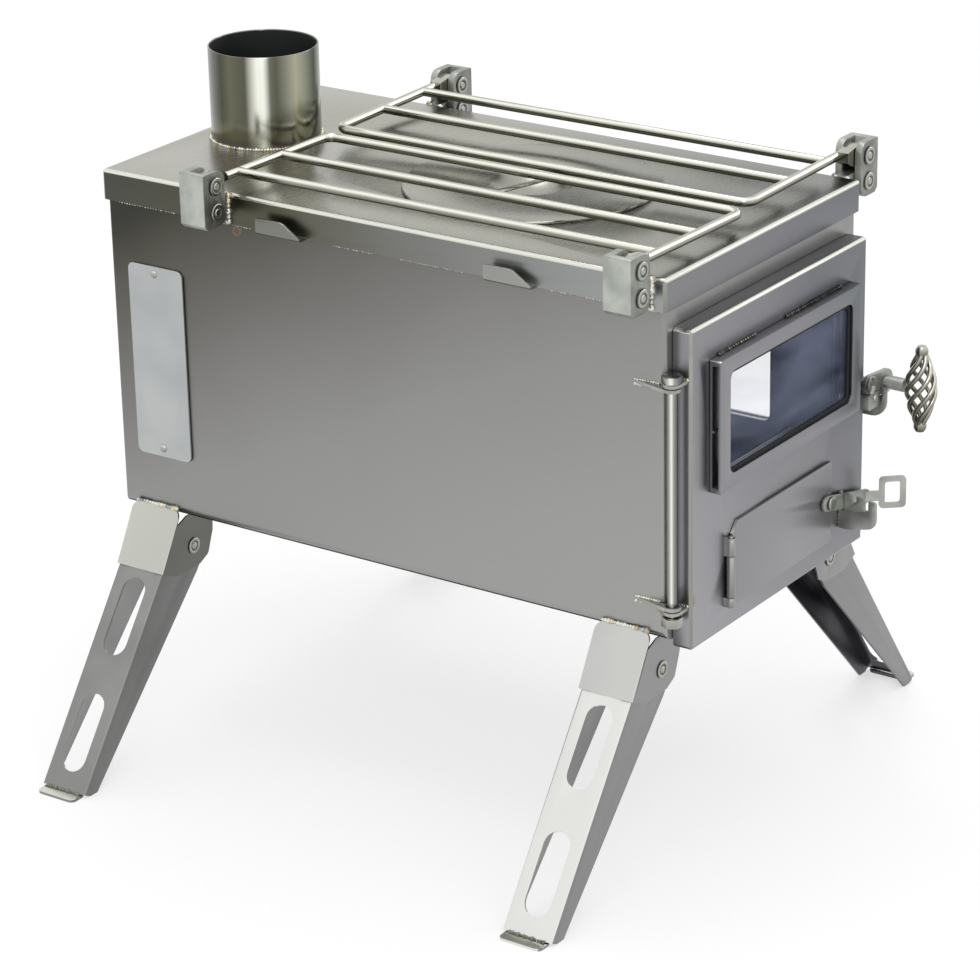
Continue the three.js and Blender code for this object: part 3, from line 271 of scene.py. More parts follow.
def drifted_two_tone(name, shades, metallic):
    """Metal in two shades, darker in drifts: painted shade inside the firebox, the flue and the rivets'
    grooves; fired steel for the grate, and ground weld scale.
    """
    material, tree, shader, place = new_material(name, Metallic=metallic, Specular_IOR_Level=0.2)
    drift_noise = add(tree, "ShaderNodeTexNoise", {"Scale": 1 / (50 * MM), "Detail": 2.0}, Vector=place)
    base = add(tree, "ShaderNodeValToRGB", {"stops": [(0.35, shades[0]), (0.7, shades[1])]}, Fac=drift_noise)
    rough = add(tree, "ShaderNodeMath", {"operation": "MULTIPLY_ADD", 1: 0.3, 2: 0.4}, _0=drift_noise)
    plug(tree, shader, Base_Color=base, Roughness=rough)
    return material


def ceramic_pane(name):
    """Heat-resistant glass ceramic: clear and flat. What is seen on it is a painted reflection,
    a blue-grey haze in soft sweeps; the haze is the pane's alpha, and the rest is looked through."""
    material, tree, shader, place = new_material(
        name, Roughness=0.05, IOR=1.45, Base_Color=linear("#b4c0e6"))
    sweep = add(tree, "ShaderNodeMapping", {"Rotation": (0.0, 0.7, 0.0), "Scale": (1.0, 1.0, 3.0)},
                Vector=place)
    # painted reflection: a blue-grey haze in sweeps over what is seen through
    sheen_sweeps = add(tree, "ShaderNodeTexNoise",
                {"Scale": 1 / (90 * MM), "Detail": 2.0, "Distortion": 0.6}, Vector=sweep)
    haze = add(tree, "ShaderNodeMapRange",
               {"From Min": 0.35, "From Max": 0.65, "To Min": 0.03, "To Max": 0.12}, Value=sheen_sweeps)
    plug(tree, shader, Alpha=haze)
    return material


def woven_tape(name):
    """Black glass-fibre tape: matt, with a 1 mm weave."""
    material, tree, shader, place = new_material(name, Roughness=0.85)
    weave = add(tree, "ShaderNodeTexNoise", {"Scale": 1 / (1 * MM), "Detail": 1.0}, Vector=place)
    base = add(tree, "ShaderNodeValToRGB", {"stops": [(0.3, "#0b0b0e"), (0.7, "#26262c")]}, Fac=weave)
    relief = add(tree, "ShaderNodeBump", {"Strength": 0.4, "Distance": 0.4 * MM}, Height=weave)
    plug(tree, shader, Base_Color=base, Normal=relief)
    return material


def anodised_plate(name):
    """Satin-anodised aluminium: pale, even, with a soft directional sheen along its length."""
    material, tree, shader, place = new_material(name, Metallic=1.0)
    stretch = add(tree, "ShaderNodeMapping", {"Scale": [1 / (size * MM) for size in GRAIN_UPRIGHT]},
                  Vector=place)
    lines = add(tree, "ShaderNodeTexNoise", {"Scale": 1.0, "Detail": 2.0}, Vector=stretch)
    broad = add(tree, "ShaderNodeTexNoise", {"Scale": 1 / (40 * MM), "Detail": 2.0}, Vector=place)
    base = add(tree, "ShaderNodeValToRGB", {"stops": [(0.35, "#adb0b1"), (0.7, "#bbbdbd")]}, Fac=broad)
    rough = add(tree, "ShaderNodeMath", {"operation": "MULTIPLY_ADD", 1: 0.12, 2: 0.34}, _0=lines)
    plug(tree, shader, Base_Color=base, Roughness=rough)
    return material


def heat_tinted_weld(name):
    """Hand-laid weld in stainless: bright lumpy metal, with grey, straw and blue heat colours
    from lump to lump."""
    material, tree, shader, place = new_material(name, Metallic=1.0)
    heat = add(tree, "ShaderNodeTexNoise", {"Scale": 1 / (14 * MM), "Detail": 2.0}, Vector=place)
    base = add(tree, "ShaderNodeValToRGB", {"stops": [
        (0.3, "#9c9c96"), (0.4, "#dddcd3"), (0.5, "#e6e5dc"), (0.56, "#cdbd8e"), (0.6, "#8f9aa8"),
        (0.65, "#c9c9c3"), (0.8, "#e2e1d9")]}, Fac=heat)
    ripple = add(tree, "ShaderNodeTexNoise", {"Scale": 1 / (1 * MM), "Detail": 2.0}, Vector=place)
    rough = add(tree, "ShaderNodeMath", {"operation": "MULTIPLY_ADD", 1: 0.25, 2: 0.15}, _0=ripple)
    relief = add(tree, "ShaderNodeBump", {"Strength": 0.6, "Distance": 0.5 * MM}, Height=ripple)
    plug(tree, shader, Base_Color=base, Roughness=rough, Normal=relief)
    return material


# Each sheet's tone from start to end is painted reflection and shade.
wall_finish = satin_sheet(
    "satin_stainless_wall",
    [(0.0, "#3f3f3b"), (0.06, "#515049"), (0.125, "#605f59"), (0.25, "#757471"), (0.375, "#868584"),
     (0.5, "#939391"), (0.75, "#9d9d9c"), (1.0, "#a2a2a1")],
    at(-100, 190, 174), at(-100, 54.6, -109), GRAIN_LENGTHWAYS,
    [(at(-100, 94, 184), 3.5), (at(-100, -170, 184), 3), (at(-100, -186, 19), 5)], 0.05)
lid_finish = satin_sheet(
    "satin_stainless_lid", [(0.0, "#aaa9a0"), (0.4, "#a5a59b"), (0.75, "#91928b"), (1.0, "#7d7d7a")],
    at(-100, 60, LID_TOP), at(90, -180, LID_TOP), GRAIN_ACROSS, rough=0.22)
skirt_finish = satin_sheet(
    "satin_stainless_skirt",
    [(0.0, "#4f5049"), (0.35, "#5b5a4c"), (0.6, "#7b7b78"), (1.0, "#9c9f9e")],
    at(-101, 185, 197), at(-101, -170, 197), GRAIN_LENGTHWAYS)
hook_finish = satin_sheet(
    "satin_stainless_hook", [(0.0, "#7d7d77"), (1.0, "#9c9c98")],
    at(-108, 80, 190), at(-108, -110, 190), GRAIN_LENGTHWAYS)
front_skirt_finish = satin_sheet(
    "satin_stainless_front_skirt", [(0.0, "#858486"), (0.5, "#7c7c80"), (1.0, "#6d6f74")],
    at(-100, -189, 197), at(100, -189, 197), GRAIN_ACROSS)
door_finish = satin_sheet(
    "satin_stainless_door",
    [(0.0, "#a09fa3"), (0.4, "#908f93"), (0.75, "#838387"), (1.0, "#717276")],
    at(-90, -199, -5), at(80, -199, 90), GRAIN_ACROSS, [(at(-93, -199, 24), 7)])
frame_finish = satin_sheet(
    "satin_stainless_window_frame", [(0.0, "#8e8d91"), (0.6, "#87868a"), (1.0, "#717579")],
    at(-75, -206, 82), at(75, -206, 110), GRAIN_ACROSS)
flap_finish = satin_sheet(
    "satin_stainless_flap", [(0.0, "#8f8f92"), (0.6, "#929195"), (1.0, "#88878b")],
    at(-54, -201, 10), at(54, -201, 40), GRAIN_ACROSS)
# Webs are painted lit and flanges painted in shade; the inner faces are in deeper painted shade.
leg_web_lit_finish = satin_sheet(
    "satin_stainless_leg_web_painted_light", [(0.0, "#e6e6e3"), (0.3, "#dcdcd9"), (0.7, "#a9aaa7"), (1.0, "#8e8f8d")],
    at(0, -170, -60), at(0, 165, -90), GRAIN_UPRIGHT, cloud=0.45)
leg_flange_shaded_finish = satin_sheet(
    "satin_stainless_leg_flange_painted_shade", [(0.0, "#8c8c8d"), (0.5, "#8f8f8f"), (1.0, "#727271")],
    at(0, -180, -60), at(0, 180, -60), GRAIN_UPRIGHT, cloud=0.25)
# painted shade on the inner faces under the stove
leg_inside_shade_finish = satin_sheet(
    "stainless_leg_inside_painted_shade",
    [(0.0, "#9c9c9b"), (0.3, "#7a7a7a"), (0.6, "#3a3a3f"), (0.8, "#2a2a2f"), (1.0, "#5f5f65")],
    at(-200, 0, -60), at(200, 0, -60), GRAIN_UPRIGHT, cloud=0.5)
bracket_web_lit_finish = satin_sheet(
    "satin_stainless_bracket_web_painted_light",
    [(0.0, "#cdcdca"), (0.25, "#b6b8b7"), (0.5, "#d9dad5"), (0.8, "#bfc1b8"), (1.0, "#c8cac1")],
    at(0, -180, -10), at(0, 180, -10), GRAIN_UPRIGHT, cloud=0.3)
bracket_flange_shaded_finish = satin_sheet(
    "satin_stainless_bracket_flange_painted_shade", [(0.0, "#929292"), (0.5, "#8a8a88"), (1.0, "#686863")],
    at(0, -180, -10), at(0, 180, -10), GRAIN_UPRIGHT, cloud=0.3)
# The folds' stops run from facing down to facing up: painted shade below, a painted highlight on top.
fold_finish = fold_painted_highlight("stainless_fold_painted_highlight", [
    (0.0, "#5a5a56"), (0.4, "#83847e"), (0.52, "#9a9b94"), (0.64, "#c4c5bb"), (0.76, "#e8e9df"),
    (0.88, "#e6e7dd"), (1.0, "#d3d4ca")])
# Wire, grip and pins: stops from facing down to up, painted shade below and a painted highlight on top.
rod_finish = polished_rod("electropolished_wire", [
    (0.0, "#504f46"), (0.2, "#605f55"), (0.4, "#7b7a6e"), (0.55, "#93928a"), (0.68, "#b4b4a6"),
    (0.8, "#f1f1e6"), (0.91, "#f7f7ef"), (0.96, "#d2d2c6"), (1.0, "#a9a89c")])
grip_finish = polished_rod("polished_basket_wire", [
    (0.0, "#3b3a35"), (0.3, "#65635a"), (0.55, "#918f84"), (0.75, "#cbc9bd"), (0.9, "#efeee4"),
    (1.0, "#b3b1a5")], 0.2)
pin_finish = polished_rod("turned_stainless_pin", [
    (0.0, "#6c6c66"), (0.4, "#9a9a94"), (0.6, "#adada6"), (0.8, "#d8d8d0"), (1.0, "#c3c3bb")], 0.2)
groove_shade_finish = drifted_two_tone("painted_shade_in_grooves", ("#4c4c47", "#77776f"), 0.7)
scale_finish = drifted_two_tone("ground_weld_scale", ("#55544a", "#a09f92"), 0.8)
# The bolt's and the collar's bands round their axes are painted reflections, the bright band a painted
# highlight.
bolt_finish = tube_painted_reflections(
    "turned_stainless_bolt",
    [(0.0, "#9a9b94"), (0.06, "#e9eae2"), (0.09, "#dfe0d8"), (0.13, "#9d9d9b"), (0.2, "#747475"),
     (0.3, "#565655"), (0.45, "#8b8c86"), (0.7, "#a9aaa3"), (0.88, "#6a6a66"), (1.0, "#9a9b94")],
    at(-101, -192.6, -60))
collar_finish = tube_painted_reflections(
    "polished_flue_tube",
    [(0.0, "#6a6a58"), (0.05, "#5a5a4e"), (0.085, "#f2f4e6"), (0.103, "#f4f6ec"), (0.122, "#6c6c60"),
     (0.14, "#5a5c4c"), (0.17, "#85867a"), (0.2, "#aaa78f"), (0.235, "#8a8d7e"), (0.28, "#42483b"),
     (0.32, "#898b83"), (0.42, "#6a6c62"), (0.6, "#8b8c85"), (0.9, "#828280"), (0.965, "#4e5143"),
     (1.0, "#6a6a58")],
    at(*COLLAR_AXIS, LID_TOP))
cast_finish = tumbled_casting("tumbled_cast_stainless", ("#989a95", "#b4b6b0"))
# Painted light on the sideways faces and painted shade on the cheeks.
cast_lit_finish = tumbled_casting("tumbled_cast_stainless_painted_light", ("#a3a7a1", "#bfc3bc"))
cast_shaded_finish = tumbled_casting("tumbled_cast_stainless_painted_shade", ("#7b7d78", "#9fa19b"))
soot_finish = drifted_two_tone("sooted_grate_steel", ("#4a4d59", "#767985"), 0.4)
inside_shade_finish = drifted_two_tone("firebox_inside_painted_shade", ("#07080c", "#14161e"), 0.1)
flue_inside_shade_finish = drifted_two_tone("flue_inside_painted_shade", ("#0b0e0d", "#1d2422"), 0.1)
glass_finish = ceramic_pane("glass_ceramic_pane")
gasket_finish = woven_tape("black_glass_fibre_tape")
plate_finish = anodised_plate("satin_anodised_plate")
weld_finish = heat_tinted_weld("heat_tinted_weld")


# ---------------------------------------------------------------- shape helpers
def smooth(mesh, degrees=40):
    """Smooth shading, with hard lines where faces meet at more than the angle."""
    made = bmesh.new()
    made.from_mesh(mesh)
    for face in made.faces:
        face.smooth = True
    for line in made.edges:
        line.smooth = line.calc_face_angle(0.0) < math.radians(degrees)
    made.to_mesh(mesh)
    made.free()


def to_mesh(made, name):
    """The mesh of a bmesh, which is freed."""
    mesh = bpy.data.meshes.new(name)
    made.to_mesh(mesh)
    made.free()
    return mesh


def in_scene(name, data):
    """A new object in the scene, for a mesh, a lamp or a camera."""
    item = bpy.data.objects.new(name, data)
    bpy.context.scene.collection.objects.link(item)
    return item


def new_piece(name, mesh, finishes, body):
    """An object at the origin that rides on a body."""
    piece = in_scene(name, mesh)
    mesh.materials.clear()
    for finish in finishes:
        mesh.materials.append(finish)
    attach(piece, body)
    return piece


def stand_for(node, mesh, finishes):
    """The piece that is shown instead of a CAD node."""
    mesh.name = node + "_skin"
    piece = new_piece(node + "_skin", mesh, finishes, nodes[node]["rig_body"])
    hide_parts(node)


def applied(piece):
    """The piece's mesh with its modifiers made real; the piece itself goes."""
    bpy.context.view_layer.update()
    graph = bpy.context.evaluated_depsgraph_get()
    mesh = bpy.data.meshes.new_from_object(piece.evaluated_get(graph))
    bpy.data.objects.remove(piece)
    return mesh


FOLD = 1                        # every piece's second finish is that of its folds and edges, with a painted highlight
CURVE_ANGLE, EDGE_ANGLE = 25, 30    # below the first a face is curved, from the second edged
FOLD_LENGTH = 20 * MM           # a channel's fold is longer than this,
FOLD_FACE = 500 * MM * MM       # and each face beside it is larger than this


def refine(node, finishes, edge, choose=None, crease=0):
    """A copy of a CAD node with its facets joined, edges rounded by edge millimetres and
    smooth curved faces, standing for the node. choose picks a face's finish from its middle
    and normal, and crease is the radius of the folds between a channel's web and flanges."""
    made = bmesh.new()
    made.from_mesh(nodes[node].data)
    bmesh.ops.remove_doubles(made, verts=made.verts, dist=2e-6)
    bmesh.ops.dissolve_limit(made, angle_limit=math.radians(1.0), verts=made.verts, edges=made.edges,
                             use_dissolve_boundaries=False)
    if crease:
        folds = [e for e in made.edges if e.calc_length() > FOLD_LENGTH and e.is_convex
                 and {abs(f.normal.y) > 0.9 for f in e.link_faces} == {True, False}
                 and all(f.calc_area() > FOLD_FACE for f in e.link_faces)]
        bmesh.ops.bevel(made, geom=folds, offset=crease * MM, segments=5, profile=0.5, affect="EDGES")
    mesh = to_mesh(made, node)
    for attribute in [a for a in mesh.attributes if a.name == "custom_normal"]:
        mesh.attributes.remove(attribute)
    smooth(mesh, CURVE_ANGLE)
    piece = in_scene(node, mesh)
    bevel = piece.modifiers.new("edge", "BEVEL")
    bevel.width = edge * MM
    bevel.segments = 2
    bevel.limit_method = "ANGLE"
    bevel.angle_limit = math.radians(EDGE_ANGLE)
    bevel.use_clamp_overlap = True
    bevel.material = FOLD if len(finishes) > 1 else -1
    mesh = applied(piece)
    smooth(mesh)
    stand_for(node, mesh, finishes)
    for face in mesh.polygons:
        if choose and face.material_index != FOLD:
            face.material_index = choose(face.center, face.normal)


def rod_mesh(points, radius, sides=20):
    """A round rod along points, with closed ends."""
    made = bmesh.new()
    rings = []
    side = None
    for i, point in enumerate(points):
        ahead = (points[min(i + 1, len(points) - 1)] - points[max(i - 1, 0)]).normalized()
        if side is None:
            side = ahead.orthogonal().normalized()
        side = (side - ahead * side.dot(ahead)).normalized()
        across = ahead.cross(side)
        rings.append([
            made.verts.new(point + (side * math.cos(a) + across * math.sin(a)) * radius)
            for a in (2 * math.pi * k / sides for k in range(sides))])
    for first, second in zip(rings, rings[1:]):
        for k in range(sides):
            made.faces.new((first[k], first[(k + 1) % sides], second[(k + 1) % sides], second[k]))
    made.faces.new(list(reversed(rings[0])))
    made.faces.new(rings[-1])
    return to_mesh(made, "rod")


def turned(profile, centre, sides, axis=(0, 0, 1), closed=False):
    """A turned solid from (radius, height) points in millimetres about an axis; closed joins
    the last point to the first."""
    made = bmesh.new()
    turn = Vector((0, 0, 1)).rotation_difference(Vector(axis).normalized()).to_matrix()
    rings = []
    for radius, height in profile:
        angles = [2 * math.pi * k / sides for k in range(sides)] if radius > 0 else [0.0]
        rings.append([
            made.verts.new(centre + turn @ Vector((
                radius * MM * math.cos(a), radius * MM * math.sin(a), height * MM))) for a in angles])
    for first, second in zip(rings, rings[1:] + (rings[:1] if closed else [])):
        for k in range(sides):
            n = (k + 1) % sides
            corners = [first[k % len(first)], first[n % len(first)], second[n % len(second)],
                       second[k % len(second)]]
            corners = list(dict.fromkeys(corners))
            if len(corners) > 2:
                made.faces.new(corners)
    bmesh.ops.recalc_face_normals(made, faces=made.faces)
    mesh = to_mesh(made, "turned")
    smooth(mesh)
    return mesh


def joined(meshes):
    """One mesh from several; the parts go."""
    made = bmesh.new()
    for mesh in meshes:
        made.from_mesh(mesh)
        bpy.data.meshes.remove(mesh)
    mesh = to_mesh(made, "joined")
    smooth(mesh)
    return mesh


# ---------------------------------------------------------------- sheet pieces
# Each function picks the number of the finish in the list that its piece is refined with.
FLAT = 0.97       # a face of which no part of the normal reaches this is a fold


def sheet_face(centre, normal):
    """A folded sheet: its faces, then its folds."""
    return FOLD if max(abs(part) for part in normal) < FLAT else 0


def lid_face(centre, normal):
    """Lid: top, folds, side skirts, front skirt, the inside in painted shade, and the stop hooks."""
    top, _, sides, front, shade_face, hooks = range(6)
    low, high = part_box("lid")
    inside_x = high.x - 7.5 * MM            # within the side skirts
    inside_y = MID_Y - low.y - 2.4 * MM     # within the front and rear skirts
    hooks_x = high.x - 6 * MM               # out past the side skirts
    if normal.z < -0.5 and centre.z > low.z + 3 * MM:
        return shade_face
    if abs(normal.z) < 0.5 and abs(centre.x) < inside_x and abs(centre.y - MID_Y) < inside_y:
        return shade_face
    if sheet_face(centre, normal) == FOLD:
        return FOLD
    if abs(centre.x) > hooks_x:
        # the hooks' top edges take the folds' painted highlight
        return FOLD if normal.z > 0.5 and centre.z > low.z + 5 * MM else hooks
    if abs(normal.x) > 0.5:
        return sides
    return front if normal.y < -0.5 else top


def firebox_face(centre, normal):
    """Firebox: walls, folds, and the inside in painted shade, which is open at the top."""
    shade_face, wall = 2, 1 * MM
    inside = all(BODY_LOW[i] + wall < centre[i] for i in range(3)) and all(
        centre[i] < BODY_HIGH[i] - wall for i in range(2))
    return shade_face if inside else sheet_face(centre, normal)


def leg_face(middle_y):
    """Legs and brackets: web, painted lit, folds, flanges, in painted shade, and the inner faces of
    both, in deeper painted shade.
    """
    web, _, flange, shade_face = range(4)

    def choose(centre, normal):
        outward = normal.x * math.copysign(1, centre.x)
        if abs(normal.y) > 0.7:
            return flange if (centre.y - middle_y) * normal.y > 0 else shade_face
        if outward < -0.4 and normal.z < 0.2:
            return shade_face
        return web if outward > 0.5 else FOLD
    return choose


def cast_face(centre, normal):
    """Links and lugs: plain, edges, painted lit where they face sideways, and in painted shade on
    the cheeks that face along the stove."""
    plain, _, pale, dull = range(4)
    if abs(normal.x) > 0.9:
        return pale
    return dull if abs(normal.y) > 0.9 else plain


# The firebox's and the lid's insides are near black: painted shade.
refine("firebox", (wall_finish, wall_finish, inside_shade_finish), 0.5, choose=firebox_face)
refine("lid", (lid_finish, fold_finish, skirt_finish, front_skirt_finish, inside_shade_finish,
               hook_finish), 0.3, choose=lid_face)
refine("side_plate_bare", (plate_finish, fold_finish), 0.25, sheet_face)
refine("side_window_frame", (wall_finish, fold_finish), 0.4, choose=sheet_face)
refine("door_pan", (door_finish, fold_finish), 0.3, choose=sheet_face)
refine("door_window_frame", (frame_finish, fold_finish), 0.35, choose=sheet_face)
refine("air_flap", (flap_finish, fold_finish), 0.3, choose=sheet_face)
for node in ("hinge_ear_body_upper", "hinge_ear_body_lower", "hinge_ear_door_upper",
             "hinge_ear_door_lower"):
    refine(node, (cast_finish, fold_finish), 0.3)
CORNERS = [(side, end) for side in ("left", "right") for end in ("front", "rear")]
LEG_CREASE = 2.2
for side, end in CORNERS:
    face = leg_face(at(0, BRACKET_Y[end == "rear"], 0).y)
    refine(f"leg_{side}_{end}", (leg_web_lit_finish, fold_finish, leg_flange_shaded_finish, leg_inside_shade_finish),
           0.3, choose=face, crease=LEG_CREASE)
    refine(f"leg_bracket_{side}_{end}",
           (bracket_web_lit_finish, fold_finish, bracket_flange_shaded_finish, leg_inside_shade_finish),
           0.3, choose=face, crease=LEG_CREASE)
    for part in ("rack_lug", "rack_link"):
        refine(f"{part}_{side}_{end}", (cast_finish, fold_finish, cast_lit_finish, cast_shaded_finish),
               0.5, cast_face)
for node in ("flap_latch_arm", "flap_latch_keeper", "latch_arm", "latch_guide", "latch_catch"):
    refine(node, (cast_finish, fold_finish), 0.35)
refine("hinge_bolt", (bolt_finish,), 0.3)
for node in ("hinge_nut", "flap_latch_rivet", "latch_pivot", "air_flap_pin"):
    refine(node, (pin_finish,), 0.3)
for node, finish in (("door_window_gasket", gasket_finish), ("door_window_glass", glass_finish),
                     ("side_window_glass", glass_finish), ("grate", soot_finish),
                     ("flame_baffle", soot_finish)):
    nodes[node].data.materials.clear()
    nodes[node].data.materials.append(finish)


# ---------------------------------------------------------------- turned pieces
LARGE_HEAD = 5.1        # a rivet's head with a radius above this is thicker, on a thinner shank


def dished_pin(node):
    """A rivet along Y: each head has a groove round its middle and a rounded rim, and there is
    painted shade in the groove and round the rim. Radii and heights are in millimetres."""
    low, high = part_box(node)
    half = (high.y - low.y) / 2 / MM
    head = (high.z - low.z) / 2 / MM
    step, thick = (2.2, 1.0) if head > LARGE_HEAD else (1.0, 0.5)
    shank = head - step
    groove_in, groove_out, rim = head * 0.42, head * 0.6, head * 0.97
    groove_floor = half - 0.45 * thick
    cap = [(0, half), (head * 0.34, half - 0.05), (groove_in, groove_floor),
           (head * 0.54, groove_floor), (head * 0.64, half - 0.05), (head * 0.86, half),
           (rim, half - 0.3 * thick), (head, half - 0.5 * thick), (head, half - thick)]
    other_cap = [(radius, -height) for radius, height in reversed(cap)]
    profile = cap + [(shank, half - thick), (shank, thick - half)] + other_cap
    centre = (low + high) / 2
    mesh = turned(profile, centre, 32, (0, 1, 0))
    stand_for(node, mesh, (pin_finish, groove_shade_finish))
    for face in mesh.polygons:
        out = math.hypot(face.center.x - centre.x, face.center.z - centre.z) / MM
        # painted shade in the groove and round the rim
        if groove_in < out < groove_out or out > rim:
            face.material_index = 1


for side, end in CORNERS:
    for kind in ("link_pin_lower", "link_pin_upper", "leg_pin"):
        dished_pin(f"{kind}_{side}_{end}")


def flue_collar():
    """The collar: a thin tube with a softly rounded rim, in painted shade inside."""
    low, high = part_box("flue_collar")
    wall, rim, drop = 1.2, 0.3, 0.4
    outer = (high.x - low.x) / 2 / MM
    inner = outer - wall
    top = (high.z - low.z) / MM
    profile = [(inner, 0), (outer, 0), (outer, top - drop), (outer - rim, top), (inner + rim, top),
               (inner, top - drop)]
    base = Vector(((low.x + high.x) / 2, (low.y + high.y) / 2, low.z))
    mesh = turned(profile, base, 96, closed=True)
    stand_for("flue_collar", mesh, (collar_finish, flue_inside_shade_finish))
    for face in mesh.polygons:
        out = math.hypot(face.center.x - base.x, face.center.y - base.y) / MM
        if out < inner + 0.1:
            face.material_index = 1


def cook_plate():
    """The round plate: a flat rim, a dished finger cup, and the bar that crosses the cup."""
    low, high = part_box("cook_plate")
    middle = Vector(((low.x + high.x) / 2, (low.y + high.y) / 2, high.z))
    radius = (high.x - low.x) / 2 / MM
    cup, depth, thick, rim = 25.0, 8.0, 1.2, 0.4
    bar_size, bar_sink, bar_turn = (51, 5, 1.1), 0.6, -16.3
    ball = (cup ** 2 + depth ** 2) / (2 * depth)
    bowl = [(ball * math.sin(a), ball - depth - ball * math.cos(a))
            for a in (math.asin(cup / ball) * i / 10 for i in range(11))]
    underside = [(r, h - thick) for r, h in reversed(bowl)]
    profile = bowl + [(radius - rim, 0), (radius, -rim), (radius, -thick)] + underside
    disc = turned(profile, middle, 96)
    turn = Matrix.Rotation(math.radians(bar_turn), 4, "Z")
    made = bmesh.new()
    bmesh.ops.create_cube(made, size=1.0)
    bmesh.ops.scale(made, vec=[size * MM for size in bar_size], verts=made.verts)
    bmesh.ops.translate(made, vec=(0, 0, -bar_sink * MM), verts=made.verts)
    bmesh.ops.transform(made, matrix=Matrix.Translation(middle) @ turn, verts=made.verts)
    bmesh.ops.bevel(made, geom=made.edges, offset=rim * MM, segments=2, profile=0.5, affect="EDGES")
    disc_and_bar = joined([disc, to_mesh(made, "bar")])
    stand_for("cook_plate", disc_and_bar, (lid_finish,))


flue_collar()
cook_plate()


# ---------------------------------------------------------------- wire pieces
ROD = 2.7                   # a rod's radius
RACK_LENGTH = 275.6         # between the middles of a rack's outer rods
RACK_SHIFT = 2.55           # of the right rack's middle, to the rear of the middle of its lugs
CROSS_RODS = (26, 66)       # from the pins
DROOP = math.radians(0.9)   # by which a closed rack tips down to its free end
HINGE_MID_Y = (LUG_Y[0] + LUG_Y[1]) / 2


def arc(cx, cy, radius, start, end, steps=10):
    """Points of a circle between two angles in degrees."""
    return [(cx + radius * math.cos(a), cy + radius * math.sin(a))
            for a in (math.radians(start + (end - start) * i / steps) for i in range(steps + 1))]


def rack_point(x, y, z, turn):
    """A point of the right rack, drooped about its pins, or of the left, turned half round."""
    dx, dz = x - PIN_X, z - PIN_Z
    x = PIN_X + dx * math.cos(DROOP) - dz * math.sin(DROOP)
    z = PIN_Z + dx * math.sin(DROOP) + dz * math.cos(DROOP)
    return at(x * turn, HINGE_MID_Y + (y - HINGE_MID_Y) * turn, z)


def rack(side, turn):
    """A welded rack: a bent loop, two straight rods across it and two flat lugs. root is where
    the loop ends in the lugs, and free is where it ends over the middle of the lid."""
    front = HINGE_MID_Y + RACK_SHIFT - RACK_LENGTH / 2
    rear = front + RACK_LENGTH
    free, bend, z, root = 7.8, 7.0, PIN_Z + 1.5, PIN_X - 14
    path = ([(root, rear)] + arc(free + bend, rear - bend, bend, 90, 180)
            + arc(free + bend, front + bend, bend, 180, 270) + [(root, front)])
    parts = [rod_mesh([rack_point(x, y, z, turn) for x, y in path], ROD * MM)]
    for out in CROSS_RODS:
        ends = [(PIN_X - out, front), (PIN_X - out, rear)]
        parts.append(rod_mesh([rack_point(x, y, z, turn) for x, y in ends], ROD * MM))
    half_lug = 3.7
    for y in LUG_Y:
        section = [(root - 1, PIN_Z - 1.7), (root + 3, PIN_Z - 4.2), (PIN_X - 3, PIN_Z - 6)]
        section += [(PIN_X + px, PIN_Z + pz) for px, pz in arc(0, 0, 6, -90, 90, 12)]
        section += [(PIN_X - 4, PIN_Z + 6), (root - 1, PIN_Z + 4.2)]
        made = bmesh.new()
        near, far = ([made.verts.new(rack_point(x, y + way * half_lug, z, turn)) for x, z in section]
                     for way in (-1, 1))
        made.faces.new(near)
        made.faces.new(list(reversed(far)))
        count = len(section)
        for i in range(count):
            n = (i + 1) % count
            made.faces.new((near[i], near[n], far[n], far[i]))
        bmesh.ops.recalc_face_normals(made, faces=made.faces)
        parts.append(to_mesh(made, "lug"))
    stand_for(f"rack_{side}", joined(parts), (rod_finish,))


def basket_grip():
    """Six twisted strands between two round ends, open inside like a basket."""
    low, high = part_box("latch_grip")
    middle = (low + high) / 2
    length = (high.z - low.z) / MM
    wire, neck, inset = 1.45, 1.7, 8
    belly = (high.x - low.x) / 2 / MM - wire
    steps, strands, turns = 36, 6, 0.75
    parts = []
    for k in range(strands):
        points = []
        for i in range(steps + 1):
            t = i / steps
            radius = neck + (belly - neck) * math.sin(math.pi * t)
            angle = 2 * math.pi * (k / strands + turns * t)
            points.append(middle + Vector((
                radius * math.cos(angle), radius * math.sin(angle), (t - 0.5) * (length - inset))) * MM)
        parts.append(rod_mesh(points, wire * MM, 10))
    cap = [(0, 0), (2.6, 0.3), (3.6, 1.9), (3.85, 3.8), (3.5, 5.4), (2.6, 6.8), (0, 7.4)]
    for way in (1, -1):
        parts.append(turned(cap, middle + Vector((0, 0, way * length / 2 * MM)), 24, (0, 0, -way)))
    stand_for("latch_grip", joined(parts), (grip_finish,))


rack("right", 1)
rack("left", -1)
basket_grip()


# ---------------------------------------------------------------- welds and rivets
FULL_TURN = 6.28            # radians, for the drops' random turns


